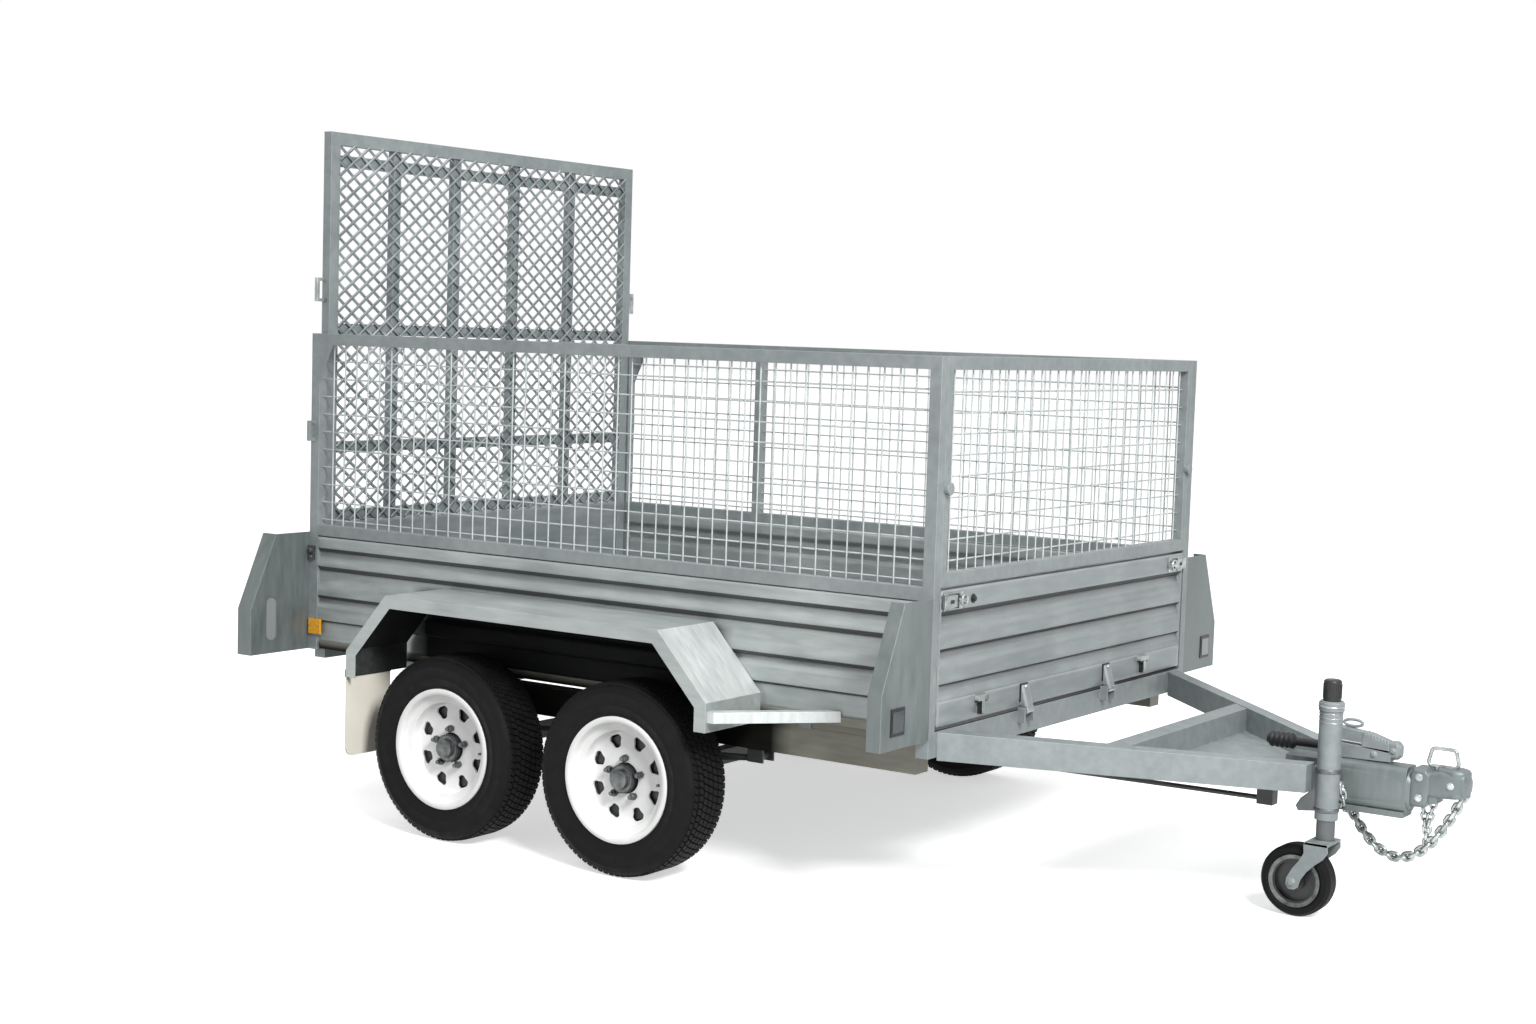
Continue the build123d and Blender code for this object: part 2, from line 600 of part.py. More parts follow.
for side_name, s in (("left", 1), ("right", -1)):
    with BuildPart() as mudguard:
        guard_band(sheet, s * box_half, s * guard_out)
        guard_band(guard_skirt, s * (guard_out - sheet), s * guard_out)
        block(mid - 900, mid + 900, 0, s * 1200, 200, guard_foot, mode=Mode.SUBTRACT)
    write(f"mudguard_{side_name}", mudguard.part)

flap_x = mid - 672
with BuildPart() as mudflaps:
    for s in (1, -1):
        block(flap_x - 5, flap_x, s * 880, s * 1064, 212, 475)
    fillet([e for e in mudflaps.edges().filter_by(Axis.X) if e.center().Z < 220], 30)
write("mudflaps", mudflaps.part)

stay_low, stay_tall = 483.0, 30.0
with BuildPart() as guard_stays:
    for s in (1, -1):
        along_z([(mid + 660, s * 1066), (mid + 684, s * 1066), (mid + 920, s * 806), (mid + 888, s * 806),
                 (mid + 660, s * 1038)], stay_low, stay_low + stay_tall)
write("guard_stays", guard_stays.part)

# ---- Axles, springs and hangers ----
spring_y = (longeron_in + longeron_out) / 2
spring_wide = 44.0
spring_half = 290.0
spindle_radius = 19.0
seat_top = tyre_radius + axle_bar / 2 + 8
eye_z = 345.0
axle_x = {"front": mid + axle_half_spacing, "rear": mid - axle_half_spacing}
with BuildPart() as axles:
    for x in axle_x.values():
        block(x - axle_bar / 2, x + axle_bar / 2, -820, 820,
              tyre_radius - axle_bar / 2, tyre_radius + axle_bar / 2)
        rod_y(x, tyre_radius, spindle_radius, -track_half - 8, track_half + 8)
        for s in (1, -1):
            block(x - 35, x + 35, s * (spring_y - 24), s * (spring_y + 24),
                  tyre_radius + axle_bar / 2, seat_top)
write("axles", axles.part)

eye_radius, hanger_pin = 14.0, 8.0
with BuildPart() as leaf_springs:
    for x in axle_x.values():
        for s in (1, -1):
            y0, y1 = s * (spring_y - spring_wide / 2), s * (spring_y + spring_wide / 2)
            along_y([(x - spring_half, eye_z - 14), (x - 60, seat_top), (x + 60, seat_top),
                     (x + spring_half, eye_z - 14), (x + spring_half, eye_z - 6), (x + 60, seat_top + 20),
                     (x - 60, seat_top + 20), (x - spring_half, eye_z - 6)], y0, y1)
            for e in (-1, 1):
                rod_y(x + e * spring_half, eye_z, eye_radius, y0, y1)
                rod_y(x + e * spring_half, eye_z, hanger_pin + 0.3, y0, y1, mode=Mode.SUBTRACT)
write("leaf_springs", leaf_springs.part)

hanger_x = [mid + e * (axle_half_spacing + spring_half) for e in (-1, 1)]
rocker_x = [mid + e * (axle_half_spacing - spring_half) for e in (-1, 1)]
with BuildPart() as spring_hangers:
    for s in (1, -1):
        for e in (-1, 1):
            y0 = s * (spring_y + e * (spring_wide / 2 + 1))
            y1 = s * (spring_y + e * (spring_wide / 2 + 7))
            for x in hanger_x:
                block(x - 26, x + 26, y0, y1, eye_z - 18, longeron_bottom)
            block(rocker_x[0] - 22, rocker_x[1] + 22, y0, y1, eye_z - 18, longeron_bottom)
        for x in hanger_x + rocker_x:
            rod_y(x, eye_z, hanger_pin, s * (spring_y - spring_wide / 2 - 7),
                  s * (spring_y + spring_wide / 2 + 7))
write("spring_hangers", spring_hangers.part)

# ---- Wheels ----
rim_flange = 179.0
bead_radius = 166.2
tyre_outline = ((bead_radius, 68), (181, 68), (200, 80), (225, tyre_half_width), (250, 85), (265, 77),
                (tyre_radius, 62))
tyre_inside = ((262, 54), (256, 66), (246, 72), (225, 74), (202, 68), (183, 56), (bead_radius, 54))
# Section of the rim: radius, and place outward from the centre plane.
rim_outline = (
    (44, 18), (44, 28), (78, 28), (92, 24), (124, 24), (133, 34), (135, 52), (156, 58), (161, 76), (172, 79),
    (rim_flange, 77), (rim_flange, 69), (166, 69), (163, 54), (148, 46), (148, -50), (163, -56), (166, -69),
    (rim_flange, -69), (rim_flange, -76), (160, -76), (156, -58), (142, -52), (142, 18),
)
disc_face = 24.0        # outer face of the disc from the wheel's centre plane
disc_thick = 6.0
hub_radius = 40.0
window_circle, window_count = 106.0, 8
for axle_name, x in axle_x.items():
    for side_name, s in (("left", 1), ("right", -1)):
        name = f"{axle_name}_{side_name}"
        y = s * track_half
        wheel_plane = Plane(origin=(x, y, tyre_radius), x_dir=(1, 0, 0), z_dir=(0, 0, 1))
        wheel_axis = Axis((x, y, tyre_radius), (0, 1, 0))

        with BuildPart() as tyre:
            with BuildSketch(wheel_plane):
                with BuildLine():
                    Polyline(*tyre_outline, *[(r, -w) for r, w in reversed(tyre_outline)],
                             *[(r, -w) for r, w in reversed(tyre_inside)], *tyre_inside, close=True)
                make_face()
            revolve(axis=wheel_axis)
        write(f"tyre_{name}", tyre.part)

        with BuildPart() as rim:
            with BuildSketch(wheel_plane):
                with BuildLine():
                    Polyline(*[(r, s * w) for r, w in rim_outline], close=True)
                make_face()
            revolve(axis=wheel_axis)
            with BuildSketch(Plane(origin=(x, y, tyre_radius), x_dir=(1, 0, 0), z_dir=(0, s, 0))) as windows:
                with PolarLocations(window_circle, window_count, start_angle=22.5):
                    Polygon((-16, -10), (15, -19), (15, 19), (-16, 10), align=None)
                fillet(windows.vertices(), 7)
            extrude(amount=40, mode=Mode.SUBTRACT)
        write(f"rim_{name}", rim.part)

        with BuildPart() as hub:
            rod_y(x, tyre_radius, 58, y - s * 30, y + s * (disc_face - disc_thick))
            rod_y(x, tyre_radius, hub_radius, y + s * (disc_face - disc_thick), y + s * 50)
            rod_y(x, tyre_radius, 27, y + s * 50, y + s * 66)
            rod_y(x, tyre_radius, spindle_radius + 0.5, y - s * 30, y + s * 12, mode=Mode.SUBTRACT)
        write(f"hub_{name}", hub.part)
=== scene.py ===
"""Looks for the galvanised tandem box trailer: finishes, wire and expanded mesh, tyres and fittings.

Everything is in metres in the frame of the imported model: X forward, Y left, Z up.
"""
from math import cos, pi, radians, sin, tau

import bmesh
import bpy
from mathutils import Matrix, Vector


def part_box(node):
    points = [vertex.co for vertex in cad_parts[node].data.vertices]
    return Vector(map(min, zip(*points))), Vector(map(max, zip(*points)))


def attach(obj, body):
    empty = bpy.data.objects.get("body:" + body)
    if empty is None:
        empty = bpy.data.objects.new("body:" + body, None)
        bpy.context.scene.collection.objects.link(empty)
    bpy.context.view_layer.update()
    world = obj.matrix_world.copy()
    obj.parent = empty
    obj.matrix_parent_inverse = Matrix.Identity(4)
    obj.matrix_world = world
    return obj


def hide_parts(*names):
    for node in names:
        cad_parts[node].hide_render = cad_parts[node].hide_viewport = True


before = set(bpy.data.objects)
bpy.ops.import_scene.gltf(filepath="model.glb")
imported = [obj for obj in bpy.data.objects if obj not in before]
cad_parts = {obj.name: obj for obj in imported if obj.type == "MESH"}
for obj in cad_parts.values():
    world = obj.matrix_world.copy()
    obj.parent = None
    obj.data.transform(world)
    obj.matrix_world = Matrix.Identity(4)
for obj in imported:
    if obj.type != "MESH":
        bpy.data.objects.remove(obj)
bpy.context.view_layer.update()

# ---- Sizes shared with the solids ----
MID = -0.607                     # point midway between the axles
BOX_FRONT, BOX_REAR = MID + 1.196, MID - 1.1
BOX_HALF = 0.812
CAGE_TOP, CAGE_TUBE = 1.476, 0.035
AXLE_REACH, TRACK_HALF, TYRE_RADIUS = 0.326, 0.948, 0.274
SIDES = (("left", 1), ("right", -1))
WHEELS = {f"{axle}_{side}": (MID + a * AXLE_REACH, s * TRACK_HALF)
          for axle, a in (("front", 1), ("rear", -1)) for side, s in SIDES}


# ---- Small helpers ----
def linear(hex_code):
    """An sRGB hex colour as linear RGBA."""
    values = [int(hex_code[i:i + 2], 16) / 255 for i in (1, 3, 5)]
    return tuple(v / 12.92 if v <= 0.04045 else ((v + 0.055) / 1.055) ** 2.4 for v in values) + (1.0,)


def feed(tree, target, inputs):
    """Fills a node's inputs: a socket is linked, a node gives its first output, the rest are values."""
    for key, value in inputs.items():
        if isinstance(value, bpy.types.Node):
            value = value.outputs[0]
        if isinstance(value, bpy.types.NodeSocket):
            tree.links.new(value, target.inputs[key])
        else:
            target.inputs[key].default_value = value


def node(tree, kind, inputs=None, **settings):
    """Adds a node, with its settings and its inputs."""
    made = tree.nodes.new(kind)
    for name, value in settings.items():
        setattr(made, name, value)
    feed(tree, made, inputs or {})
    return made


def blank(name):
    """A new material, its tree and its principled shader."""
    material = bpy.data.materials.new(name)
    material.use_nodes = True
    tree = material.node_tree
    return material, tree, tree.nodes["Principled BSDF"]


# ---- Materials ----
MIX_A, MIX_B, MIX_COLOUR = 6, 7, 2      # a colour mix's two colour inputs and its colour output
# Painted shade: a near-black film laid where shade falls, on faces that look down under folds and in patches
# such as behind the wheels.
SHADE_COLOUR, SHADE_COVER = "#070807", 0.97
FOLD_SHADE_COVER = 0.75                       # how much painted shade lies under an outer fold
NO_PATCH = ((5, 5), (6, 6))             # corners far from the trailer, for painted shade under folds alone


def painted_shade_mask(tree, coords, corner, far_corner, outside):
    """Where painted shade lies: on faces that look down under folds, and in a patch between two corners in X
    and Z.

    Outside keeps it off the inner faces.
    """
    facing = node(tree, "ShaderNodeSeparateXYZ", {0: coords["Normal"]}).outputs
    below = node(tree, "ShaderNodeMapRange", {"Value": facing["Z"], "From Min": -0.1, "From Max": -0.3})
    (x0, z0), (x1, z1) = corner, far_corner
    spot = node(tree, "ShaderNodeSeparateXYZ", {0: coords["Object"]}).outputs
    limits = [node(tree, "ShaderNodeMapRange", {"Value": spot[axis], "From Min": start, "From Max": full})
              for axis, start, full in (("X", x0 - 0.02, x0 + 0.05), ("X", x1 + 0.02, x1 - 0.05),
                                        ("Z", z0 - 0.02, z0 + 0.02), ("Z", z1 + 0.005, z1 - 0.02))]
    if outside:
        outer = {"From Min": 0.02, "From Max": 0.1}
        side = node(tree, "ShaderNodeMath", {0: facing["Y"], 1: spot["Y"]}, operation="MULTIPLY")
        outward = node(tree, "ShaderNodeMath", {0: side, 1: facing["X"]}, operation="MAXIMUM")
        outward = node(tree, "ShaderNodeMapRange", {"Value": outward, **outer, "To Max": FOLD_SHADE_COVER})
        below = node(tree, "ShaderNodeMath", {0: below, 1: outward}, operation="MULTIPLY")
        limits.append(node(tree, "ShaderNodeMapRange", {"Value": side, **outer}))
    patch = limits[0]
    for limit in limits[1:]:
        patch = node(tree, "ShaderNodeMath", {0: patch, 1: limit}, operation="MULTIPLY")
    painted_shade = node(tree, "ShaderNodeMath", {0: below, 1: patch}, operation="MAXIMUM")
    return node(tree, "ShaderNodeMath", {0: painted_shade, 1: SHADE_COVER}, operation="MULTIPLY")


# Noise scales are cells in a metre: zinc clouds about 250 mm across, and drag marks about 110 mm long where
# the streak is 1 and 18 mm where it is 6. The real spangle is too fine to show, so it is left out.
CLOUD_SCALE, DRAG_SCALE = 4.0, 9.0


def galvanised(name, low, mid, high, edge, streak=(1, 6, 6), metallic=0.5, rough=(0.42, 0.6), shade_zone=None,
               fold=0.0022):
    """Hot-dip galvanised steel: cloudy zinc in soft patches, faint drag marks, paler worn edges.

    The painted shade's zone is (corner, far corner, outside), or None. Fold is how wide an edge looks
    rounded, and how wide its painted highlight runs.
    """
    material, tree, shader = blank(name)
    coords = node(tree, "ShaderNodeTexCoord").outputs
    noise = {"Vector": coords["Object"], "Scale": CLOUD_SCALE, "Detail": 3.0}
    cloud = node(tree, "ShaderNodeTexNoise", noise).outputs["Fac"]
    noise = {"Vector": node(tree, "ShaderNodeMapping", {"Vector": coords["Object"], "Scale": streak}),
             "Scale": DRAG_SCALE, "Detail": 3.0}
    drag = node(tree, "ShaderNodeTexNoise", noise).outputs["Fac"]
    mixed = node(tree, "ShaderNodeMath", {0: cloud, 1: drag}, operation="ADD")
    tone = node(tree, "ShaderNodeMapRange", {"Value": mixed, "From Min": 0.62, "From Max": 1.38})
    shades = node(tree, "ShaderNodeValToRGB", {0: tone})
    shades.color_ramp.elements.new(0.5)
    for stop, colour in zip(shades.color_ramp.elements, (low, mid, high)):
        stop.color = linear(colour)
    rounded = node(tree, "ShaderNodeBevel", {"Radius": fold}, samples=4)
    flat = node(tree, "ShaderNodeNewGeometry").outputs["Normal"]
    turn = node(tree, "ShaderNodeVectorMath", {0: rounded, 1: flat}, operation="DOT_PRODUCT").outputs["Value"]
    # Painted highlight: where the rounded normal turns away from the flat one, at edges and along folds, the
    # colour is mixed toward the pale edge colour.
    edge_highlight = node(tree, "ShaderNodeMapRange", {
        "Value": turn, "From Min": 0.995, "From Max": 0.8, "To Max": 0.4})
    shading = {"Factor": edge_highlight, MIX_A: shades, MIX_B: linear(edge)}
    colour = node(tree, "ShaderNodeMix", shading, data_type="RGBA").outputs[MIX_COLOUR]
    # Painted shade: near-black, barely specular and not metallic where the mask says.
    if shade_zone:
        painted_shade = painted_shade_mask(tree, coords, *shade_zone)
        shading = {"Factor": painted_shade, MIX_A: colour, MIX_B: linear(SHADE_COLOUR)}
        colour = node(tree, "ShaderNodeMix", shading, data_type="RGBA").outputs[MIX_COLOUR]
        sheen = node(tree, "ShaderNodeMapRange", {"Value": painted_shade, "To Min": 0.5, "To Max": 0.05})
        metal = node(tree, "ShaderNodeMapRange", {"Value": painted_shade, "To Min": metallic, "To Max": 0.0})
        feed(tree, shader, {"Specular IOR Level": sheen, "Metallic": metal})
    else:
        feed(tree, shader, {"Metallic": metallic})
    gloss = node(tree, "ShaderNodeMapRange", {
        "Value": drag, "From Min": 0.3, "From Max": 0.7, "To Min": rough[0], "To Max": rough[1]})
    bump = node(tree, "ShaderNodeBump", {
        "Height": drag, "Normal": rounded, "Strength": 0.08, "Distance": 0.0003})
    feed(tree, shader, {"Base Color": colour, "Roughness": gloss, "Normal": bump})
    return material


# Side walls: soft neutral zinc with drag marks along the trailer, and black painted shade behind the wheels
# and under the outer folds.
SHEET = galvanised("hot_dip_galvanised_sheet", "#8A9190", "#9CA3A2", "#B0B6B5", "#D5DAD9", fold=0.014,
                   shade_zone=((MID - 0.64, 0.48), (MID + 0.54, 0.713), True))
# Mudguards: the same zinc, with black painted shade on the faces that look down, inside the guard.
GUARD = galvanised("galvanised_guard_plate", "#949B9A", "#A5ACAB", "#B6BCBA", "#E0E4E3",
                   shade_zone=(*NO_PATCH, False))
# The guards' sloped front plates are newer and paler, brushed down the slope.
FRESH = galvanised("fresh_galvanised_plate", "#B6BCBB", "#C8CDCC", "#D8DCDB", "#EDF0EF", streak=(2, 9, 2))
# Front gate and ramp: bright and clean, dragged crosswise, with painted shade under the outer folds.
GATE = galvanised("galvanised_gate_sheet", "#7C8485", "#8C9394", "#9DA3A4", "#DDE1E1", streak=(6, 1, 6),
                  shade_zone=(*NO_PATCH, True), fold=0.014)
# Corner wings: weathered to a flat darker grey.
WING = galvanised("weathered_galvanised_plate", "#656D6D", "#727A7A", "#808787", "#BFC4C3", streak=(5, 5, 1))
# The drawbar, posts and tubes: smooth zinc, a shade darker than the sheet.
TUBE = galvanised("hot_dip_galvanised_tube", "#7A8182", "#888F90", "#979D9D", "#D8DDDC", streak=(4, 4, 4),
                  metallic=0.35, rough=(0.5, 0.66))
# Mesh wire: brighter, because the wire is drawn before it is dipped.
WIRE = galvanised("galvanised_wire", "#A6ADAE", "#BAC0C0", "#CCD1D0", "#EEF1F0", streak=(3, 3, 3))
# Expanded mesh: mottled, with a painted highlight on the torn edges.
EXPANDED = galvanised("galvanised_expanded_mesh", "#646C6F", "#8F9799", "#BDC3C4", "#F2F4F4",
                      streak=(3, 3, 3))
# Chain, shackle and latches: zinc plate, shinier than the dipped steel.
PLATED = galvanised("bright_zinc_plate", "#6A7071", "#9EA4A3", "#CDD1CF", "#F2F4F3", streak=(5, 5, 5),
                    metallic=0.85, rough=(0.24, 0.42))
# The beams and springs underneath: zinc under a thick dark film of road dirt; laid on the guards' inner feet,
# the same near-black is painted shade.
UNDER = galvanised("grime_and_shade_underside", "#2A2C2B", "#3A3D3C", "#4C4F4E", "#6E7271", metallic=0.2)
# The long beams: beige with dust, and black painted shade on the faces that look down and along them from the
# back to just ahead of the wheels.
BEAM = galvanised("dusty_galvanised_beam", "#6F6E63", "#85847A", "#98978C", "#A9A89D", metallic=0.2,
                  shade_zone=((MID - 1.2, 0.3), (MID + 0.72, 0.5), False))
# The jockey leg: bare drawn tube, darker than the zinc.
DULL = galvanised("drawn_steel_tube", "#575B5C", "#686C6D", "#7A7E7F", "#A5A9A9", streak=(6, 6, 1),
                  metallic=0.7)
# The load floor: dull zinc, dusty.
DECK = galvanised("dull_galvanised_floor", "#7E8484", "#8C9292", "#9AA09F", "#BCC1C0")


GRAIN = 12                      # how many times finer the grain is than the patches of shade
SOFT_EDGE = 0.0015              # how wide a moulded or enamelled edge looks rounded


def plain_finish(name, low, high, rough, scale, depth=0.0001, metallic=0.0, coat=0.0, shine=0.5, other=None):
    """A finish of two close shades with soft corners; other is (X limit, colour beyond it), or None.

    Scale is patches in a metre. A grain of a few millimetres is coarser than the real one, so that it shows.
    """
    material, tree, shader = blank(name)
    coords = node(tree, "ShaderNodeTexCoord").outputs["Object"]
    noise = {"Vector": coords, "Scale": scale, "Detail": 4.0}
    patch = node(tree, "ShaderNodeTexNoise", noise).outputs["Fac"]
    spread = {"Value": patch, "From Min": 0.3, "From Max": 0.7}
    even = node(tree, "ShaderNodeMapRange", spread)
    shading = {"Factor": even, MIX_A: linear(low), MIX_B: linear(high)}
    colour = node(tree, "ShaderNodeMix", shading, data_type="RGBA").outputs[MIX_COLOUR]
    if other:
        along = node(tree, "ShaderNodeSeparateXYZ", {0: coords})
        beyond = node(tree, "ShaderNodeMath", {0: along, 1: other[0]}, operation="GREATER_THAN")
        shading = {"Factor": beyond, MIX_A: colour, MIX_B: linear(other[1])}
        colour = node(tree, "ShaderNodeMix", shading, data_type="RGBA").outputs[MIX_COLOUR]
    gloss = node(tree, "ShaderNodeMapRange", {**spread, "To Min": rough[0], "To Max": rough[1]})
    rounded = node(tree, "ShaderNodeBevel", {"Radius": SOFT_EDGE}, samples=4)
    noise = {"Vector": coords, "Scale": scale * GRAIN, "Detail": 3.0}
    fine = node(tree, "ShaderNodeTexNoise", noise).outputs["Fac"]
    bump = node(tree, "ShaderNodeBump", {
        "Height": fine, "Normal": rounded, "Strength": 0.3, "Distance": depth})
    feed(tree, shader, {"Base Color": colour, "Roughness": gloss, "Normal": bump, "Metallic": metallic,
                        "Coat Weight": coat, "Specular IOR Level": shine})
    return material


# Baked white enamel on pressed steel: satin, with a little road dust in patches of 55 mm.
ENAMEL = plain_finish("white_baked_enamel", "#EFF0EF", "#FBFCFB", (0.28, 0.42), 18, 0.00004, coat=0.3)
# Moulded tyre rubber: near black, matt, with a skin of 3 mm grain.
RUBBER = plain_finish("moulded_tyre_rubber", "#0A0A0A", "#131313", (0.6, 0.8), 30, 0.0002, shine=0.16)
# Cast hub and drum: dark iron with old grease and a sand-cast grain of 1.4 mm.
HUB = plain_finish("dark_cast_iron", "#232425", "#3C3E3F", (0.38, 0.62), 60, 0.0003, metallic=0.6)
# Pressed dust cap and wheel nuts: dull grey steel, clouded every 20 mm.
CAP = plain_finish("dull_pressed_steel", "#454748", "#747777", (0.3, 0.5), 50, metallic=0.85)
# Injection-moulded black plastic and grip rubber: slightly glossy, with a 2 mm grain.
BLACK = plain_finish("moulded_black_plastic", "#131314", "#212223", (0.35, 0.5), 40)
# Cream polyethylene mudflap: waxy and pale, in broad soft patches of 125 mm.
CREAM = plain_finish("cream_polyethylene", "#EDE8D9", "#F6F2E6", (0.45, 0.6), 8)
# Tail lamps: red acrylic behind, on a grey moulded base that faces the wing; the grain of 1 mm is its prisms.
TAIL = plain_finish("red_acrylic_lens", "#84100C", "#A01612", (0.3, 0.42), 90, shine=0.25,
                    other=(BOX_REAR - 0.014, "#8A8E8D"))
# Marker lenses: amber acrylic at the sides, smoked acrylic on the front wings.
MARKER = plain_finish("acrylic_marker_lens", "#D98F0E", "#F2B41E", (0.12, 0.2), 90, 0.0002, coat=0.6,
                      other=(BOX_FRONT - 0.01, "#4D5356"))

FINISHES = (
    (("side_panel",), SHEET), (("mudguard",), GUARD), (("front_gate", "ramp_sheet"), GATE),
    (("corner_wings", "coupling_body", "coupling_head"), WING), (("floor",), DECK),
    (("guard_stays",), FRESH), (("longerons", "side_rails"), BEAM), (("jockey_inner_tube",), DULL),
    (("axles", "leaf_springs", "spring_hangers", "brake_rod"), UNDER),
    (("cage_mesh",), WIRE), (("ramp_mesh",), EXPANDED),
    (("safety_chain", "coupling_handle", "gate_latches", "ramp_handles"), PLATED),
    (("rim_",), ENAMEL), (("tyre_", "jockey_tyre"), RUBBER), (("hub_",), HUB),
    (("jockey_cap", "jockey_rim", "brake_lever"), BLACK), (("mudflaps",), CREAM),
    (("tail_lamps",), TAIL), (("marker_lamps",), MARKER),
)
for name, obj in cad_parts.items():
    finish = next((m for starts, m in FINISHES if name.startswith(starts)), TUBE)
    obj.data.materials.clear()
    obj.data.materials.append(finish)


# ---- Shapes made point by point, added to a bmesh ----
CORNER_STEPS = 6                 # steps around each rounded corner of a shell


def arc(a, b, radius, start, steps):
    """A quarter circle about (a, b) as points, both ends included."""
    turns = [start + pi / 2 * k / steps for k in range(steps + 1)]
    return [(a + radius * cos(turn), b + radius * sin(turn)) for turn in turns]


def skinned(work, rings, closed=False):
    """Faces between each ring of points and the next, and over both ends of an open run of rings."""
    pairs = list(zip(rings, rings[1:])) + ([(rings[-1], rings[0])] if closed else [])
    for a, b in pairs:
        for k in range(len(a)):
            work.faces.new((a[k - 1], a[k], b[k], b[k - 1]))
    if not closed:
        work.faces.new(rings[0])
        work.faces.new(rings[-1])


def prism(work, outline, axis, low, high):
    """A prism along an axis (0, 1 or 2); the outline gives the two other coordinates in X, Y, Z order."""
    rings = []
    for place in (low, high):
        points = [list(point) for point in outline]
        for point in points:
            point.insert(axis, place)
        rings.append([work.verts.new(point) for point in points])
    skinned(work, rings)


def brick(work, x0, x1, y0, y1, z0, z1):
    """A block with square corners."""
    prism(work, ((x0, y0), (x1, y0), (x1, y1), (x0, y1)), 2, z0, z1)


def turned(work, outline, centre, axis, steps=32, closed=False):
    """A body of revolution; the outline gives radius and place along the axis."""
    first, second = [i for i in range(3) if i != axis]
    rings = []
    for radius, along in outline:
        ring = []
        for k in range(steps):
            point = list(centre)
            point[axis] += along
            point[first] += radius * cos(tau * k / steps)
            point[second] += radius * sin(tau * k / steps)
            ring.append(work.verts.new(point))
        rings.append(ring)
    skinned(work, rings, closed)


def bar(work, path, radius, normal, sides=8, closed=False):
    """A round bar along a flat path whose plane has this normal."""
    normal = Vector(normal)
    rings = []
    for i, place in enumerate(path):
        before = path[i - 1] if closed or i else place
        after = path[(i + 1) % len(path)] if closed or i < len(path) - 1 else place
        side = (Vector(after) - Vector(before)).normalized().cross(normal)
        spokes = [normal * cos(tau * k / sides) + side * sin(tau * k / sides) for k in range(sides)]
        rings.append([work.verts.new(Vector(place) + radius * spoke) for spoke in spokes])
    skinned(work, rings, closed)


def shell(work, sections):
    """A skin through rounded rectangles: x past MID, half width, low z, high z and corner radius of each."""
    rings = []
    for x, half, low, high, radius in sections:
        ring = []
        for quarter, (y, z) in enumerate(((half, high), (-half, high), (-half, low), (half, low))):
            y -= radius if y > 0 else -radius
            z += radius if z == low else -radius
            corner = arc(y, z, radius, pi / 2 * quarter, CORNER_STEPS)
            ring += [work.verts.new((MID + x, *point)) for point in corner]
        rings.append(ring)
    skinned(work, rings)


def bolt(work, place, axis, out, size):
    """A washer and a six-sided head that stand out from a face."""
    turned(work, ((size * 1.35, 0), (size * 1.35, out * size * 0.25)), place, axis, 16)
    turned(work, ((size, 0), (size, out * size * 0.8), (size * 0.8, out * size * 0.95)), place, axis, 6)


def meshed(name, work, sharp=35):
    """The mesh of a bmesh, smooth except where faces meet at a sharp angle, in degrees."""
    bmesh.ops.recalc_face_normals(work, faces=work.faces)
    mesh = bpy.data.meshes.new(name)
    work.to_mesh(mesh)
    work.free()
    mesh.shade_smooth()
    mesh.set_sharp_from_angle(angle=radians(sharp))
    return mesh


def placed(name, data):
    """A new object in the scene."""
    obj = bpy.data.objects.new(name, data)
    bpy.context.scene.collection.objects.link(obj)
    return obj


def finished(name, shape, material, body, slot, *stands_for):
    """Puts a bmesh or a mesh in the scene as a piece that rides on a body and stands for plain pieces."""
    mesh = meshed(name, shape) if isinstance(shape, bmesh.types.BMesh) else shape
    obj = placed(name, mesh)
    mesh.materials.clear()
    mesh.materials.append(material)
    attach(obj, body)
    if stands_for:
        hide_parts(*stands_for)


def joined(name, meshes):
    """Several meshes as one."""
    result = bpy.data.meshes.new(name)
    work = bmesh.new()
    for mesh in meshes:
        work.from_mesh(mesh)
    work.to_mesh(result)
    work.free()
    return result


# ---- Geometry Nodes trees ----
def new_tree(name, **kinds):
    """A geometry node tree with named inputs; returns the tree and the inputs' sockets."""
    tree = bpy.data.node_groups.new(name, "GeometryNodeTree")
    tree.interface.new_socket("Geometry", in_out="OUTPUT", socket_type="NodeSocketGeometry")
    for label, kind in kinds.items():
        tree.interface.new_socket(label, in_out="INPUT", socket_type="NodeSocket" + kind)
    return tree, node(tree, "NodeGroupInput").outputs


def closed_tree(tree, sizes, geometry):
    """Ends a tree in Realize Instances and Set Material."""
    real = node(tree, "GeometryNodeRealizeInstances", {"Geometry": geometry})
    coloured = node(tree, "GeometryNodeSetMaterial", {"Geometry": real, "Material": sizes["Material"]})
    node(tree, "NodeGroupOutput", {0: coloured})
    return tree


def grown(tree, **values):
    """The mesh that a tree makes for these named inputs."""
    holder = placed("holder", bpy.data.meshes.new("holder"))
    modifier = holder.modifiers.new("grow", "NODES")
    modifier.node_group = tree
    for item in tree.interface.items_tree:
        if item.in_out == "INPUT":
            modifier[item.identifier] = values[item.name]
    evaluated = holder.evaluated_get(bpy.context.evaluated_depsgraph_get())
    mesh = bpy.data.meshes.new_from_object(evaluated)
    holder.modifiers.remove(modifier)
    bpy.data.objects.remove(holder)
    return mesh


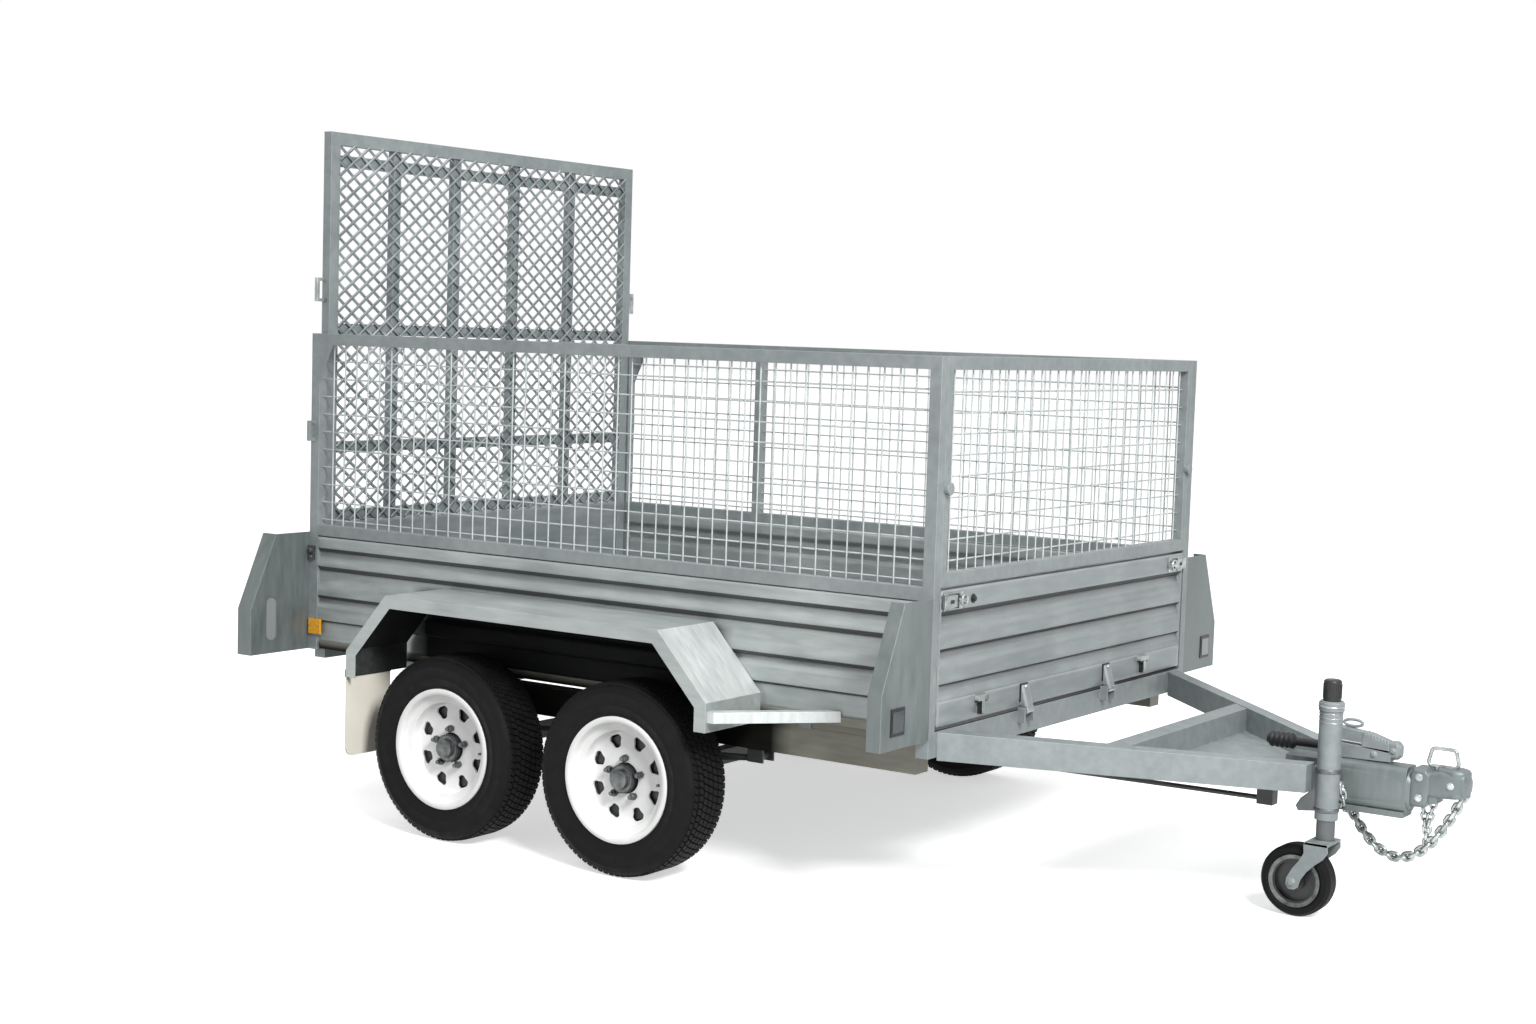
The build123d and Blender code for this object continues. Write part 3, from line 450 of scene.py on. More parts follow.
def rod_row():
    """Round rods in a row: the wires of a welded mesh."""
    tree, sizes = new_tree("rod_row", Count="Int", Start="Vector", Step="Vector", Span="Vector",
                           Radius="Float", Material="Material")
    points = node(tree, "GeometryNodeMeshLine", {
        "Count": sizes["Count"], "Start Location": sizes["Start"], "Offset": sizes["Step"]})
    line = node(tree, "GeometryNodeCurvePrimitiveLine", {"End": sizes["Span"]})
    circle = node(tree, "GeometryNodeCurvePrimitiveCircle", {"Resolution": 8, "Radius": sizes["Radius"]})
    rod = node(tree, "GeometryNodeCurveToMesh", {"Curve": line, "Profile Curve": circle, "Fill Caps": True})
    row = node(tree, "GeometryNodeInstanceOnPoints", {"Points": points, "Instance": rod})
    return closed_tree(tree, sizes, row)


def expanded_mesh():
    """Expanded mesh in the YZ plane: one crossed pair of flat strands in each cell."""
    tree, sizes = new_tree("expanded_mesh", Width="Float", Height="Float", Across="Int", Up="Int",
                           Strand="Float", Depth="Float", Centre="Vector", Material="Material")
    cell, inner = [], []
    for whole, count in (("Width", "Across"), ("Height", "Up")):
        cell.append(node(tree, "ShaderNodeMath", {0: sizes[whole], 1: sizes[count]}, operation="DIVIDE"))
        inner.append(node(tree, "ShaderNodeMath", {0: sizes[whole], 1: cell[-1]}, operation="SUBTRACT"))
    section = node(tree, "GeometryNodeCurvePrimitiveQuadrilateral", {
        "Width": sizes["Depth"], "Height": sizes["Strand"]})
    pair = node(tree, "GeometryNodeJoinGeometry")
    for slope, shift in ((1, 0.4), (-1, -0.4)):
        half_w = node(tree, "ShaderNodeMath", {0: cell[0], 1: 0.5}, operation="MULTIPLY")
        half_h = node(tree, "ShaderNodeMath", {0: cell[1], 1: 0.5 * slope}, operation="MULTIPLY")
        layer = node(tree, "ShaderNodeMath", {0: sizes["Depth"], 1: shift}, operation="MULTIPLY")
        end = node(tree, "ShaderNodeCombineXYZ", {0: layer, 1: half_w, 2: half_h})
        start = node(tree, "ShaderNodeVectorMath", {0: end, 1: (1, -1, -1)}, operation="MULTIPLY")
        line = node(tree, "GeometryNodeCurvePrimitiveLine", {"Start": start, "End": end})
        line = node(tree, "GeometryNodeSetCurveTilt", {"Curve": line, "Tilt": 0.65 * slope})
        strand = node(tree, "GeometryNodeCurveToMesh", {
            "Curve": line, "Profile Curve": section, "Fill Caps": True})
        feed(tree, pair, {0: strand})
    grid = node(tree, "GeometryNodeMeshGrid", {
        "Size X": inner[1], "Size Y": inner[0], "Vertices X": sizes["Up"], "Vertices Y": sizes["Across"]})
    grid = node(tree, "GeometryNodeTransform", {
        "Geometry": grid, "Translation": sizes["Centre"], "Rotation": (0, -pi / 2, 0)})
    cells = node(tree, "GeometryNodeInstanceOnPoints", {"Points": grid, "Instance": pair})
    return closed_tree(tree, sizes, cells)


def ring_of_items():
    """Copies of one item in a ring, such as tread blocks or nuts."""
    tree, sizes = new_tree("ring_of_items", Item="Object", Count="Int", Radius="Float", Phase="Float",
                           Turn="Vector", Centre="Vector", Material="Material")
    loop = node(tree, "GeometryNodeMeshCircle", {"Vertices": sizes["Count"], "Radius": sizes["Radius"]})
    item = node(tree, "GeometryNodeObjectInfo", {"Object": sizes["Item"]}).outputs["Geometry"]
    place = node(tree, "GeometryNodeInputPosition")
    facing = node(tree, "FunctionNodeAlignRotationToVector", {"Vector": place}, axis="X", pivot_axis="Z")
    ring = node(tree, "GeometryNodeInstanceOnPoints", {"Points": loop, "Instance": item, "Rotation": facing})
    phase = node(tree, "ShaderNodeCombineXYZ", {2: sizes["Phase"]})
    ring = node(tree, "GeometryNodeTransform", {"Geometry": ring, "Rotation": phase})
    ring = node(tree, "GeometryNodeTransform", {
        "Geometry": ring, "Rotation": sizes["Turn"], "Translation": sizes["Centre"]})
    return closed_tree(tree, sizes, ring)


def hanging_chain():
    """Round links along a hanging curve, each a quarter turn from the one before."""
    tree, sizes = new_tree("hanging_chain", Start="Vector", Sag="Vector", End="Vector", Links="Int",
                           Long="Float", Wide="Float", Wire="Float", Material="Material")
    hang = node(tree, "GeometryNodeCurveQuadraticBezier", {
        "Resolution": 64, "Start": sizes["Start"], "Middle": sizes["Sag"], "End": sizes["End"]})
    spots = node(tree, "GeometryNodeCurveToPoints", {"Curve": hang, "Count": sizes["Links"]}, mode="COUNT")
    shape = node(tree, "GeometryNodeCurvePrimitiveQuadrilateral", {
        "Width": sizes["Long"], "Height": sizes["Wide"]})
    half = node(tree, "ShaderNodeMath", {0: sizes["Wide"], 1: 0.49}, operation="MULTIPLY")
    shape = node(tree, "GeometryNodeFilletCurve", {"Curve": shape, "Count": 5, "Radius": half}, mode="POLY")
    section = node(tree, "GeometryNodeCurvePrimitiveCircle", {"Resolution": 8, "Radius": sizes["Wire"]})
    link = node(tree, "GeometryNodeCurveToMesh", {"Curve": shape, "Profile Curve": section})
    along = node(tree, "FunctionNodeAlignRotationToVector", {"Vector": spots.outputs["Tangent"]}, axis="X")
    index = node(tree, "GeometryNodeInputIndex")
    quarter = node(tree, "ShaderNodeMath", {0: index, 1: pi / 2}, operation="MULTIPLY")
    roll_by = node(tree, "ShaderNodeCombineXYZ", {0: quarter})
    roll_by = node(tree, "FunctionNodeEulerToRotation", {0: roll_by})
    along = node(tree, "FunctionNodeRotateRotation", {0: along, 1: roll_by}, rotation_space="LOCAL")
    links = node(tree, "GeometryNodeInstanceOnPoints", {"Points": spots, "Instance": link, "Rotation": along})
    return closed_tree(tree, sizes, links)


ROD_ROW, EXPANDED_MESH = rod_row(), expanded_mesh()
RING_OF_ITEMS, HANGING_CHAIN = ring_of_items(), hanging_chain()


def wire_row(count, start, step, span):
    """A row of mesh wires, each with the same span."""
    return grown(ROD_ROW, Count=count, Start=start, Step=step, Span=span, Radius=WIRE_RADIUS, Material=WIRE)


def ring_of(item, count, radius, centre, material, phase=0.0, turn=(pi / 2, 0, 0)):
    """Copies of an item's mesh around a circle; the item's X points outward and its Z lies along the axis."""
    holder = placed("item", item)
    mesh = grown(RING_OF_ITEMS, Item=holder, Count=count, Radius=radius, Phase=phase, Turn=turn,
                 Centre=centre, Material=material)
    bpy.data.objects.remove(holder)
    return mesh


def chain_run(start, sag, end, links, long, wide, wire):
    """A hanging run of links; the sag point draws the curve down."""
    return grown(HANGING_CHAIN, Start=start, Sag=sag, End=end, Links=links, Long=long, Wide=wide, Wire=wire,
                 Material=PLATED)


# ---- Pressed skins: each swage drops in under a fold and sweeps softly back out ----
SKIN = 0.0003


def swage_curve(wells, foot, crest):
    """Height and depth along a pressed sheet; a well is its top, bottom and depth, and its fold's height."""
    curve = []
    for top, bottom, depth, fold in wells:
        curve += [(top, crest), (top - fold, depth)]
        sweep = top - fold - bottom
        curve += [(bottom + sweep * (1 - k / 10), crest + (depth - crest) * (1 + cos(pi * k / 10)) / 2)
                  for k in range(1, 11)]
    return curve + [foot]


def pressed_skin(curve, face, s, axis, low, high):
    """A thin skin over a pressed face that looks along s, as a prism along an axis."""
    work = bmesh.new()
    front = [(s * (face - depth), z) for z, depth in curve]
    back = [(s * (face - depth - SKIN), z) for z, depth in reversed(curve)]
    prism(work, front + back, axis, low, high)
    return work


SIDE_CURVE = swage_curve(((0.797, 0.739, 0.0106, 0.0125), (0.7389, 0.646, 0.0106, 0.0145),
                          (0.6459, 0.603, 0.0104, 0.0115)), (0.567, 0.0015), 0.0004)
for side, s in SIDES:
    (x0, _, _), (x1, _, _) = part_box(f"side_panel_{side}")
    skin = pressed_skin(SIDE_CURVE, BOX_HALF, s, 0, x0, x1)
    finished(f"side_swages_{side}", skin, SHEET, "chassis", "galvanised")
GATE_CURVE = swage_curve(((0.806, 0.736, 0.0176, 0.0162), (0.706, 0.65, 0.0128, 0.0102),
                          (0.612, 0.565, 0.0088, 0.0062)), (0.5649, 0.0006), 0.0008)
(_, y0, _), (_, y1, _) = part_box("front_gate")
GATE_END_GAP = 0.002
skin = pressed_skin(GATE_CURVE, BOX_FRONT, 1, 1, y0 + GATE_END_GAP, y1 - GATE_END_GAP)
finished("gate_swages", skin, GATE, "front_gate", "galvanised")

# A thin near-black sheet of painted shade on the inside of each guard's rear foot.
FOOT_TOP, FOOT_IN, FOOT_OUT = 0.535, 0.8125, 1.0665
work = bmesh.new()
for side, s in SIDES:
    (x0, _, z0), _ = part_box(f"mudguard_{side}")
    brick(work, x0 + 0.0031, x0 + 0.0036, s * FOOT_IN, s * FOOT_OUT, z0, FOOT_TOP)
finished("guard_foot_film", work, UNDER, "chassis", "galvanised")

# The rails' lower flange closes the gap down to the long beams, ahead of the wheels.
work = bmesh.new()
for s in (1, -1):
    brick(work, MID + 0.6, BOX_FRONT - 0.062, s * 0.766, s * 0.7698, 0.4482, 0.4978)
finished("rail_lower_flange", work, BEAM, "chassis", "galvanised")

# ---- Cage mesh: welded wires, uprights outside the cross wires ----
WIRE_RADIUS = 0.0024
WIRE_PITCH, WIRE_RISE = 0.0495, 0.0558
SIDE_WIRE_LOW, FRONT_WIRE_LOW, WIRE_HIGH = 0.871, 0.906, CAGE_TOP - CAGE_TUBE
SIDE_CROSS, FRONT_CROSS = 0.887, FRONT_WIRE_LOW + 0.03       # the lowest cross wires
x0, x1 = BOX_REAR + CAGE_TUBE, BOX_FRONT - CAGE_TUBE
uprights = int((x1 - x0) / WIRE_PITCH)
first = x0 + ((x1 - x0) - (uprights - 1) * WIRE_PITCH) / 2
cross = int((WIRE_HIGH - SIDE_CROSS) / WIRE_RISE) + 1
for side, s in SIDES:
    y = s * (BOX_HALF - CAGE_TUBE / 2)
    mesh = joined(f"cage_wire_{side}", (
        wire_row(uprights, (first, y + s * WIRE_RADIUS, SIDE_WIRE_LOW), (WIRE_PITCH, 0, 0),
                 (0, 0, WIRE_HIGH - SIDE_WIRE_LOW)),
        wire_row(cross, (x0, y - s * WIRE_RADIUS, SIDE_CROSS), (0, 0, WIRE_RISE), (x1 - x0, 0, 0))))
    finished(f"cage_wire_{side}", mesh, WIRE, "chassis", "galvanised_mesh", f"cage_mesh_{side}")

FRONT_POST = 0.026                                          # width of the front frame's own posts
front_half = BOX_HALF - CAGE_TUBE - FRONT_POST
x = BOX_FRONT - CAGE_TUBE / 2
uprights = int(2 * front_half / WIRE_PITCH)
first = -(uprights - 1) * WIRE_PITCH / 2
cross = int((WIRE_HIGH - FRONT_WIRE_LOW) / WIRE_RISE)
mesh = joined("cage_wire_front", (
    wire_row(uprights, (x + WIRE_RADIUS, first, FRONT_WIRE_LOW), (0, WIRE_PITCH, 0),
             (0, 0, WIRE_HIGH - FRONT_WIRE_LOW)),
    wire_row(cross, (x - WIRE_RADIUS, -front_half, FRONT_CROSS), (0, 0, WIRE_RISE), (0, 2 * front_half, 0))))
finished("cage_wire_front", mesh, WIRE, "chassis", "galvanised_mesh", "cage_mesh_front")

# ---- Ramp: a fine expanded mesh that fills the box of the plain one ----
DIAMONDS_ACROSS, DIAMONDS_UP = 23, 25
STRAND, STRAND_DEPTH = 0.0136, 0.0046
low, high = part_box("ramp_mesh")
mesh = grown(EXPANDED_MESH, Width=high[1] - low[1], Height=high[2] - low[2], Across=DIAMONDS_ACROSS,
             Up=DIAMONDS_UP, Strand=STRAND, Depth=STRAND_DEPTH,
             Centre=[(a + b) / 2 for a, b in zip(low, high)], Material=EXPANDED)
finished("ramp_expanded_mesh", mesh, EXPANDED, "ramp", "galvanised_mesh", "ramp_mesh")

# ---- Road tyres: rings on the wall, five ribs and two rows of shoulder blocks ----
TREAD_BASE = 0.2665
BEAD = 0.1665
WALL = ((BEAD, 0.066), (0.172, 0.0695), (0.179, 0.073), (0.1815, 0.0765), (0.184, 0.077), (0.186, 0.0755),
        (0.196, 0.0795), (0.2075, 0.0835), (0.209, 0.085), (0.2115, 0.085), (0.213, 0.0838), (0.226, 0.0862),
        (0.24, 0.0855), (0.2415, 0.0865), (0.244, 0.0862), (0.2455, 0.0845), (0.254, 0.0815), (0.261, 0.0765),
        (TREAD_BASE, 0.069))
LINER = ((BEAD, 0.054), (0.2, 0.066), (0.25, 0.066))
RIBS = ((0.0, 0.0), (-0.0215, 0.035), (0.0215, 0.035), (-0.043, 0.01), (0.043, 0.01))    # place across, turn
SHOULDER, SHOULDER_DROP = 0.0615, 0.0012
RIB_COUNT, SHOULDER_COUNT = 88, 84
CARCASS_SHARP, RIM_SHARP = 50, 30       # degrees past which an edge of a tyre or a rim stays sharp


def tread_block(depth, around, across, lean):
    """A tread block with its top edges drawn in and no face below; X is outward."""
    work = bmesh.new()
    corners = [(-around, -across), (around, -across), (around, across), (-around, across)]
    rings = []
    for height, inset in ((-0.001, 1.0), (depth, 0.86)):
        rings.append([work.verts.new((height, a * inset + lean * b, b * inset)) for a, b in corners])
    foot, top = rings
    for k in range(4):
        work.faces.new((foot[k - 1], foot[k], top[k], top[k - 1]))
    work.faces.new(top)
    return meshed("tread_block", work)


RIB_BLOCK = tread_block(0.0068, 0.0086, 0.0098, 0.35)
SHOULDER_BLOCK = tread_block(0.0055, 0.009, 0.0085, 0.45)
for name, (x, y) in WHEELS.items():
    work = bmesh.new()
    outline = [*WALL, *((r, -w) for r, w in reversed(WALL)), *((r, -w) for r, w in LINER), *reversed(LINER)]
    turned(work, outline, (x, y, TYRE_RADIUS), 1, 96, closed=True)
    rows = [ring_of(RIB_BLOCK, RIB_COUNT, TREAD_BASE, (x, y + across, TYRE_RADIUS), RUBBER, phase)
            for across, phase in RIBS]
    rows += [ring_of(SHOULDER_BLOCK, SHOULDER_COUNT, TREAD_BASE - SHOULDER_DROP, (x, y + across, TYRE_RADIUS),
                     RUBBER, 0.02) for across in (-SHOULDER, SHOULDER)]
    tyre = joined(f"treaded_tyre_{name}", [meshed("carcass", work, CARCASS_SHARP), *rows])
    finished(f"treaded_tyre_{name}", tyre, RUBBER, f"wheel_{name}", "tyre", f"tyre_{name}")

# ---- Rims: stepped barrel and flat disc with eight rounded windows, and the brake drum behind ----
RIM = ((0.044, 0.02), (0.044, 0.028), (0.076, 0.028), (0.083, 0.0255), (0.09, 0.0245), (0.124, 0.0245),
       (0.1285, 0.027), (0.1325, 0.033), (0.134, 0.044), (0.1355, 0.0515), (0.139, 0.0535), (0.1525, 0.0565),
       (0.156, 0.06), (0.1585, 0.07), (0.161, 0.0755), (0.166, 0.0785), (0.1725, 0.079), (0.1775, 0.078),
       (0.1788, 0.075), (0.1785, 0.07), (0.166, 0.069), (0.163, 0.054), (0.148, 0.046), (0.148, -0.05),
       (0.163, -0.056), (0.166, -0.069), (0.1785, -0.069), (0.1785, -0.0755), (0.16, -0.0755),
       (0.156, -0.058), (0.142, -0.052), (0.142, 0.018))
DRUM = ((0.05, -0.034), (0.128, -0.034), (0.128, 0.004), (0.12, 0.012), (0.05, 0.012))
DISC_DEPTH = 0.022
WINDOW_CIRCLE, WINDOWS = 0.1045, 8
# Place along the radius, half width and corner radius of a window's inner and outer ends.
WINDOW = ((-0.0175, 0.0145, 0.011), (0.0195, 0.0215, 0.0135))


def window_cutter():
    """A block with the outline of a rim window, rounded at its corners."""
    (inner, inner_half, inner_round), (outer, outer_half, outer_round) = WINDOW
    inner_x, inner_y = inner + inner_round, inner_half - inner_round
    outer_x, outer_y = outer - outer_round, outer_half - outer_round
    outline = []
    for quarter, corner in enumerate(((outer_x, outer_y, outer_round), (inner_x, inner_y, inner_round),
                                      (inner_x, -inner_y, inner_round), (outer_x, -outer_y, outer_round))):
        outline += arc(*corner, pi / 2 * quarter, 4)
    work = bmesh.new()
    prism(work, outline, 2, -0.02, 0.02)
    return meshed("window_cutter", work)


def cut_out(mesh, cutter):
    """The mesh with the cutter's volume taken away."""
    body, tool = placed("body", mesh), placed("cutter", cutter)
    modifier = body.modifiers.new("cut", "BOOLEAN")
    modifier.operation = "DIFFERENCE"
    modifier.object = tool
    result = bpy.data.meshes.new_from_object(body.evaluated_get(bpy.context.evaluated_depsgraph_get()))
    body.modifiers.remove(modifier)
    bpy.data.objects.remove(body)
    bpy.data.objects.remove(tool)
    return result


for name, (x, y) in WHEELS.items():
    s = 1 if y > 0 else -1
    hub = (x, y, TYRE_RADIUS)
    work = bmesh.new()
    turned(work, [(r, s * w) for r, w in RIM], hub, 1, 96, closed=True)
    disc = (x, y + s * DISC_DEPTH, TYRE_RADIUS)
    cutters = ring_of(window_cutter(), WINDOWS, WINDOW_CIRCLE, disc, ENAMEL, pi / WINDOWS)
    rim = cut_out(meshed("rim", work, RIM_SHARP), cutters)
    rim.set_sharp_from_angle(angle=radians(RIM_SHARP))
    finished(f"windowed_rim_{name}", rim, ENAMEL, f"wheel_{name}", "wheel_enamel", f"rim_{name}")
    work = bmesh.new()
    turned(work, [(r, s * w) for r, w in DRUM], hub, 1, 48, closed=True)
    finished(f"brake_drum_{name}", work, BLACK, f"wheel_{name}", "hub_dark")

# ---- Wheel fittings: five nuts on studs, a dust cap with a rolled edge, and a valve ----
NUT_CIRCLE, NUTS, NUT_PHASE = 0.057, 5, 0.3
NUT = ((0.0095, 0), (0.0105, 0.004), (0.0105, 0.015), (0.0085, 0.018))
STUD = ((0.006, 0), (0.006, 0.026))
DUST_CAP = ((0.0405, 0.016), (0.0405, 0.021), (0.036, 0.0225), (0.028, 0.0225), (0.028, 0.0375),
            (0.024, 0.0395), (0.012, 0.0405))
DISC_FACE = 0.028
VALVE = ((0.132, -0.004), (0.13, 0.028))       # radius and place along the axle of its two ends
for name, (x, y) in WHEELS.items():
    s = 1 if y > 0 else -1
    face = y + s * DISC_FACE
    centre = (x, face, TYRE_RADIUS)
    work = bmesh.new()
    turned(work, [(r, s * w) for r, w in NUT], (0, 0, 0), 2, 6)
    turned(work, [(r, s * w) for r, w in STUD], (0, 0, 0), 2, 12)
    nuts = ring_of(meshed("nut", work), NUTS, NUT_CIRCLE, centre, CAP, NUT_PHASE * s, (-pi / 2, 0, 0))
    work = bmesh.new()
    turned(work, [(r, s * w) for r, w in DUST_CAP], centre, 1)
    bar(work, [(x + r, face + s * w, TYRE_RADIUS) for r, w in VALVE], 0.004, (0, 0, 1))
    fittings = joined(f"wheel_fittings_{name}", [nuts, meshed("cap", work)])
    finished(f"wheel_fittings_{name}", fittings, CAP, f"wheel_{name}", "hub_dark")

# ---- Front gate fittings: catches, bolts, hinge straps and hinge barrels ----
HINGE_PIN = (BOX_FRONT + 0.016, 0.49)          # x and z
HINGES, CLIPS = (-0.29, 0.235), (-0.545, 0.485)
CATCH_Y, CATCH_Z = 0.712, 0.832
EYE, EYE_ROUND = (BOX_FRONT + 0.016, 0.674), 0.015      # x and y of the catch's ring, and its radius
STRAP, CLIP = BOX_FRONT + 0.009, BOX_FRONT + 0.014    # the outer faces of the hinge straps and of the clips
STUD_Y, STUD_Z = -0.6, 0.829
BARREL = ((0.0075, -0.0178), (0.0112, -0.0178), (0.0112, 0.0178), (0.0075, 0.0178))
work = bmesh.new()
for s in (1, -1):
    y = s * CATCH_Y
    brick(work, BOX_FRONT, BOX_FRONT + 0.004, y - 0.05, y + 0.05, 0.808, 0.854)
    ring = [(EYE[0], s * EYE[1] + EYE_ROUND * cos(tau * k / 16), CATCH_Z + EYE_ROUND * sin(tau * k / 16))
            for k in range(16)]
    bar(work, ring, 0.0035, (1, 0, 0), closed=True)
    for across in (-0.036, 0.036):
        bolt(work, (BOX_FRONT + 0.004, y + across, CATCH_Z), 0, 1, 0.0065)
for y in HINGES:
    for z in (0.535, 0.555):
        bolt(work, (STRAP, y, z), 0, 1, 0.005)
for y in CLIPS:
    brick(work, CLIP, CLIP + 0.0015, y - 0.026, y + 0.026, 0.5478, 0.5622)
    brick(work, CLIP, CLIP + 0.0015, y - 0.006, y + 0.006, 0.512, 0.547)
for y in HINGES:
    turned(work, BARREL, (HINGE_PIN[0], y, HINGE_PIN[1]), 1, 24, closed=True)
finished("gate_fittings", work, PLATED, "front_gate", "zinc_plate")
work = bmesh.new()
for s in (1, -1):
    for y0, y1, z0, z1 in ((0.668, 0.682, 0.823, 0.841), (0.698, 0.704, 0.812, 0.85),
                           (0.722, 0.742, 0.826, 0.836)):
        brick(work, BOX_FRONT, BOX_FRONT + 0.0125, s * y0, s * y1, z0, z1)
for y in CLIPS:
    brick(work, BOX_FRONT, BOX_FRONT + 0.0135, y - 0.024, y + 0.024, 0.5435, 0.5479)
    brick(work, BOX_FRONT, BOX_FRONT + 0.0135, y - 0.0085, y + 0.0085, 0.51, 0.5435)
for y in HINGES:
    brick(work, BOX_FRONT, BOX_FRONT + 0.004, y - 0.0215, y + 0.0215, 0.512, 0.564)
turned(work, ((0.0125, 0), (0.0125, 0.002)), (BOX_FRONT, STUD_Y, STUD_Z), 0, 20)
bolt(work, (BOX_FRONT + 0.002, STUD_Y, STUD_Z), 0, 1, 0.0075)
finished("gate_catch_levers", work, HUB, "front_gate", "zinc_plate")

# Black lips along the floor's front and rear edges, and up beside the gate's ends, narrow the gaps there;
# their black is painted shade in the gaps.
LIP_HALF, LIP_LOW = 0.775, 0.4885
work = bmesh.new()
brick(work, BOX_FRONT - 0.044, BOX_FRONT - 0.041, -LIP_HALF, LIP_HALF, LIP_LOW, 0.5)
brick(work, BOX_FRONT - 0.0409, BOX_FRONT - 0.003, -LIP_HALF, LIP_HALF, LIP_LOW, 0.492)
brick(work, BOX_REAR + 0.002, BOX_REAR + 0.038, -LIP_HALF, LIP_HALF, 0.4953, 0.4985)
for s in (1, -1):
    brick(work, BOX_FRONT - 0.042, BOX_FRONT - 0.0395, s * 0.763, s * 0.7815, 0.5005, 0.86)
finished("floor_edge_lips", work, BLACK, "chassis", "galvanised")

# ---- Safety chain: round links along the hanging curve, two drops from it, and its start under the body ----
CHAIN_Y, CHAIN_DROP, START_Y = 0.052, 0.152, -0.056
(start_x, start_z), (end_x, end_z) = (MID + 2.034, 0.2796), (MID + 2.341, 0.3536)
middle = ((start_x + end_x) / 2, CHAIN_Y, (start_z + end_z) / 2 - 2 * CHAIN_DROP)
LINK, SMALL_LINK = (0.029, 0.0195, 0.0056), (0.022, 0.0145, 0.004)    # long, wide, wire
start, end = (start_x, CHAIN_Y, start_z), (end_x, CHAIN_Y, end_z)
runs = [chain_run(start, middle, end, 24, *LINK)]
drop, drop_end = (MID + 2.246, CHAIN_Y, 0.262), (MID + 2.247, CHAIN_Y, 0.196)
runs += [chain_run((MID + x, 0.046, 0.338), drop, drop_end, 9, *SMALL_LINK) for x in (2.229, 2.268)]
runs.append(chain_run((MID + 2.044, START_Y, 0.35), (MID + 2.05, START_Y, 0.286), start, 9, *LINK))
mesh = joined("round_link_chain", runs)
finished("round_link_chain", mesh, PLATED, "chassis", "zinc_plate", "safety_chain")

# ---- Brake lever: folded channel, ratchet and ribbed grip ----
LEVER_Z = 0.45
CHANNEL, PLATE = 0.0165, 0.0195                 # half widths of the upper channel and of the lower one
GRIP_END = MID + 1.853
RIB, RIB_PITCH = ((0.0205, -0.034), (0.0225, -0.03), (0.0225, -0.026), (0.02, -0.023)), 0.014
ribs = [(0.01, -0.044), (0.014, -0.042), (0.014, -0.036)]
for i in range(5):
    ribs += [(r, w + RIB_PITCH * i) for r, w in RIB]
work = bmesh.new()
turned(work, ribs + [(0.012, 0.04), (0.012, 0.139)], (GRIP_END, 0, LEVER_Z), 0, 24)
finished("ribbed_brake_grip", work, BLACK, "chassis", "black_plastic", "brake_lever")
work = bmesh.new()
prism(work, [(MID + x, z) for x, z in ((1.988, 0.476), (1.988, 0.512), (2.105, 0.499), (2.152, 0.484),
                                       (2.152, 0.468))], 1, -CHANNEL, CHANNEL)
prism(work, [(MID + x, z) for x, z in ((1.988, 0.427), (1.988, 0.468), (2.16, 0.46), (2.16, 0.43))],
      1, -PLATE, PLATE)
shell(work, ((2.15, 0.016, 0.437, 0.485, 0.008), (2.176, 0.019, 0.437, 0.486, 0.012),
             (2.186, 0.012, 0.445, 0.478, 0.01)))
for s in (1, -1):
    for x, half, z in ((2.015, CHANNEL, 0.492), (2.115, PLATE, 0.446), (2.167, PLATE, 0.462)):
        bolt(work, (MID + x, s * half, z), 1, s, 0.0065)
    teeth = []
    for i in range(8):
        teeth += [(MID + 2.084 + 0.009 * i, 0.497 - 0.003 * i), (MID + 2.089 + 0.009 * i, 0.504 - 0.003 * i)]
    prism(work, [*teeth, (MID + 2.156, 0.455), (MID + 2.08, 0.462)], 1, s * CHANNEL, s * PLATE)
turns = [tau * k / 20 for k in range(20)]
eye = [(MID + 2.045 + 0.026 * cos(turn), 0.012, 0.519 + 0.009 * sin(turn)) for turn in turns]
bar(work, eye, 0.0042, (0, 1, 0), closed=True)
for i in range(5):
    turned(work, ((0.0125, -0.002), (0.0125, 0.002)), (MID + 2.1 + 0.009 * i, 0, 0.474), 0, 16)
finished("brake_lever_channels", work, TUBE, "chassis", "zinc_plate", "brake_housing")

# ---- Marker lamps: amber side lenses, and flat smoked front lenses in dark frames ----
LENS_FACE = BOX_HALF + 0.0085
lenses, frames = bmesh.new(), bmesh.new()
for s in (1, -1):
    brick(lenses, BOX_REAR + 0.008, BOX_REAR + 0.058, s * BOX_HALF, s * LENS_FACE, 0.521, 0.569)
    brick(lenses, BOX_FRONT, BOX_FRONT + 0.0045, s * 0.95, s * 1.002, 0.514, 0.568)
    brick(frames, BOX_FRONT, BOX_FRONT + 0.003, s * 0.942, s * 1.009, 0.505, 0.577)
    for x in (BOX_REAR + 0.012, BOX_REAR + 0.054):
        bolt(frames, (x, s * (LENS_FACE - 0.0007), 0.545), 1, s, 0.002)
finished("marker_lenses", lenses, MARKER, "chassis", "lamp_plastic", "marker_lamps")
finished("marker_frames", frames, BLACK, "chassis", "black_plastic")

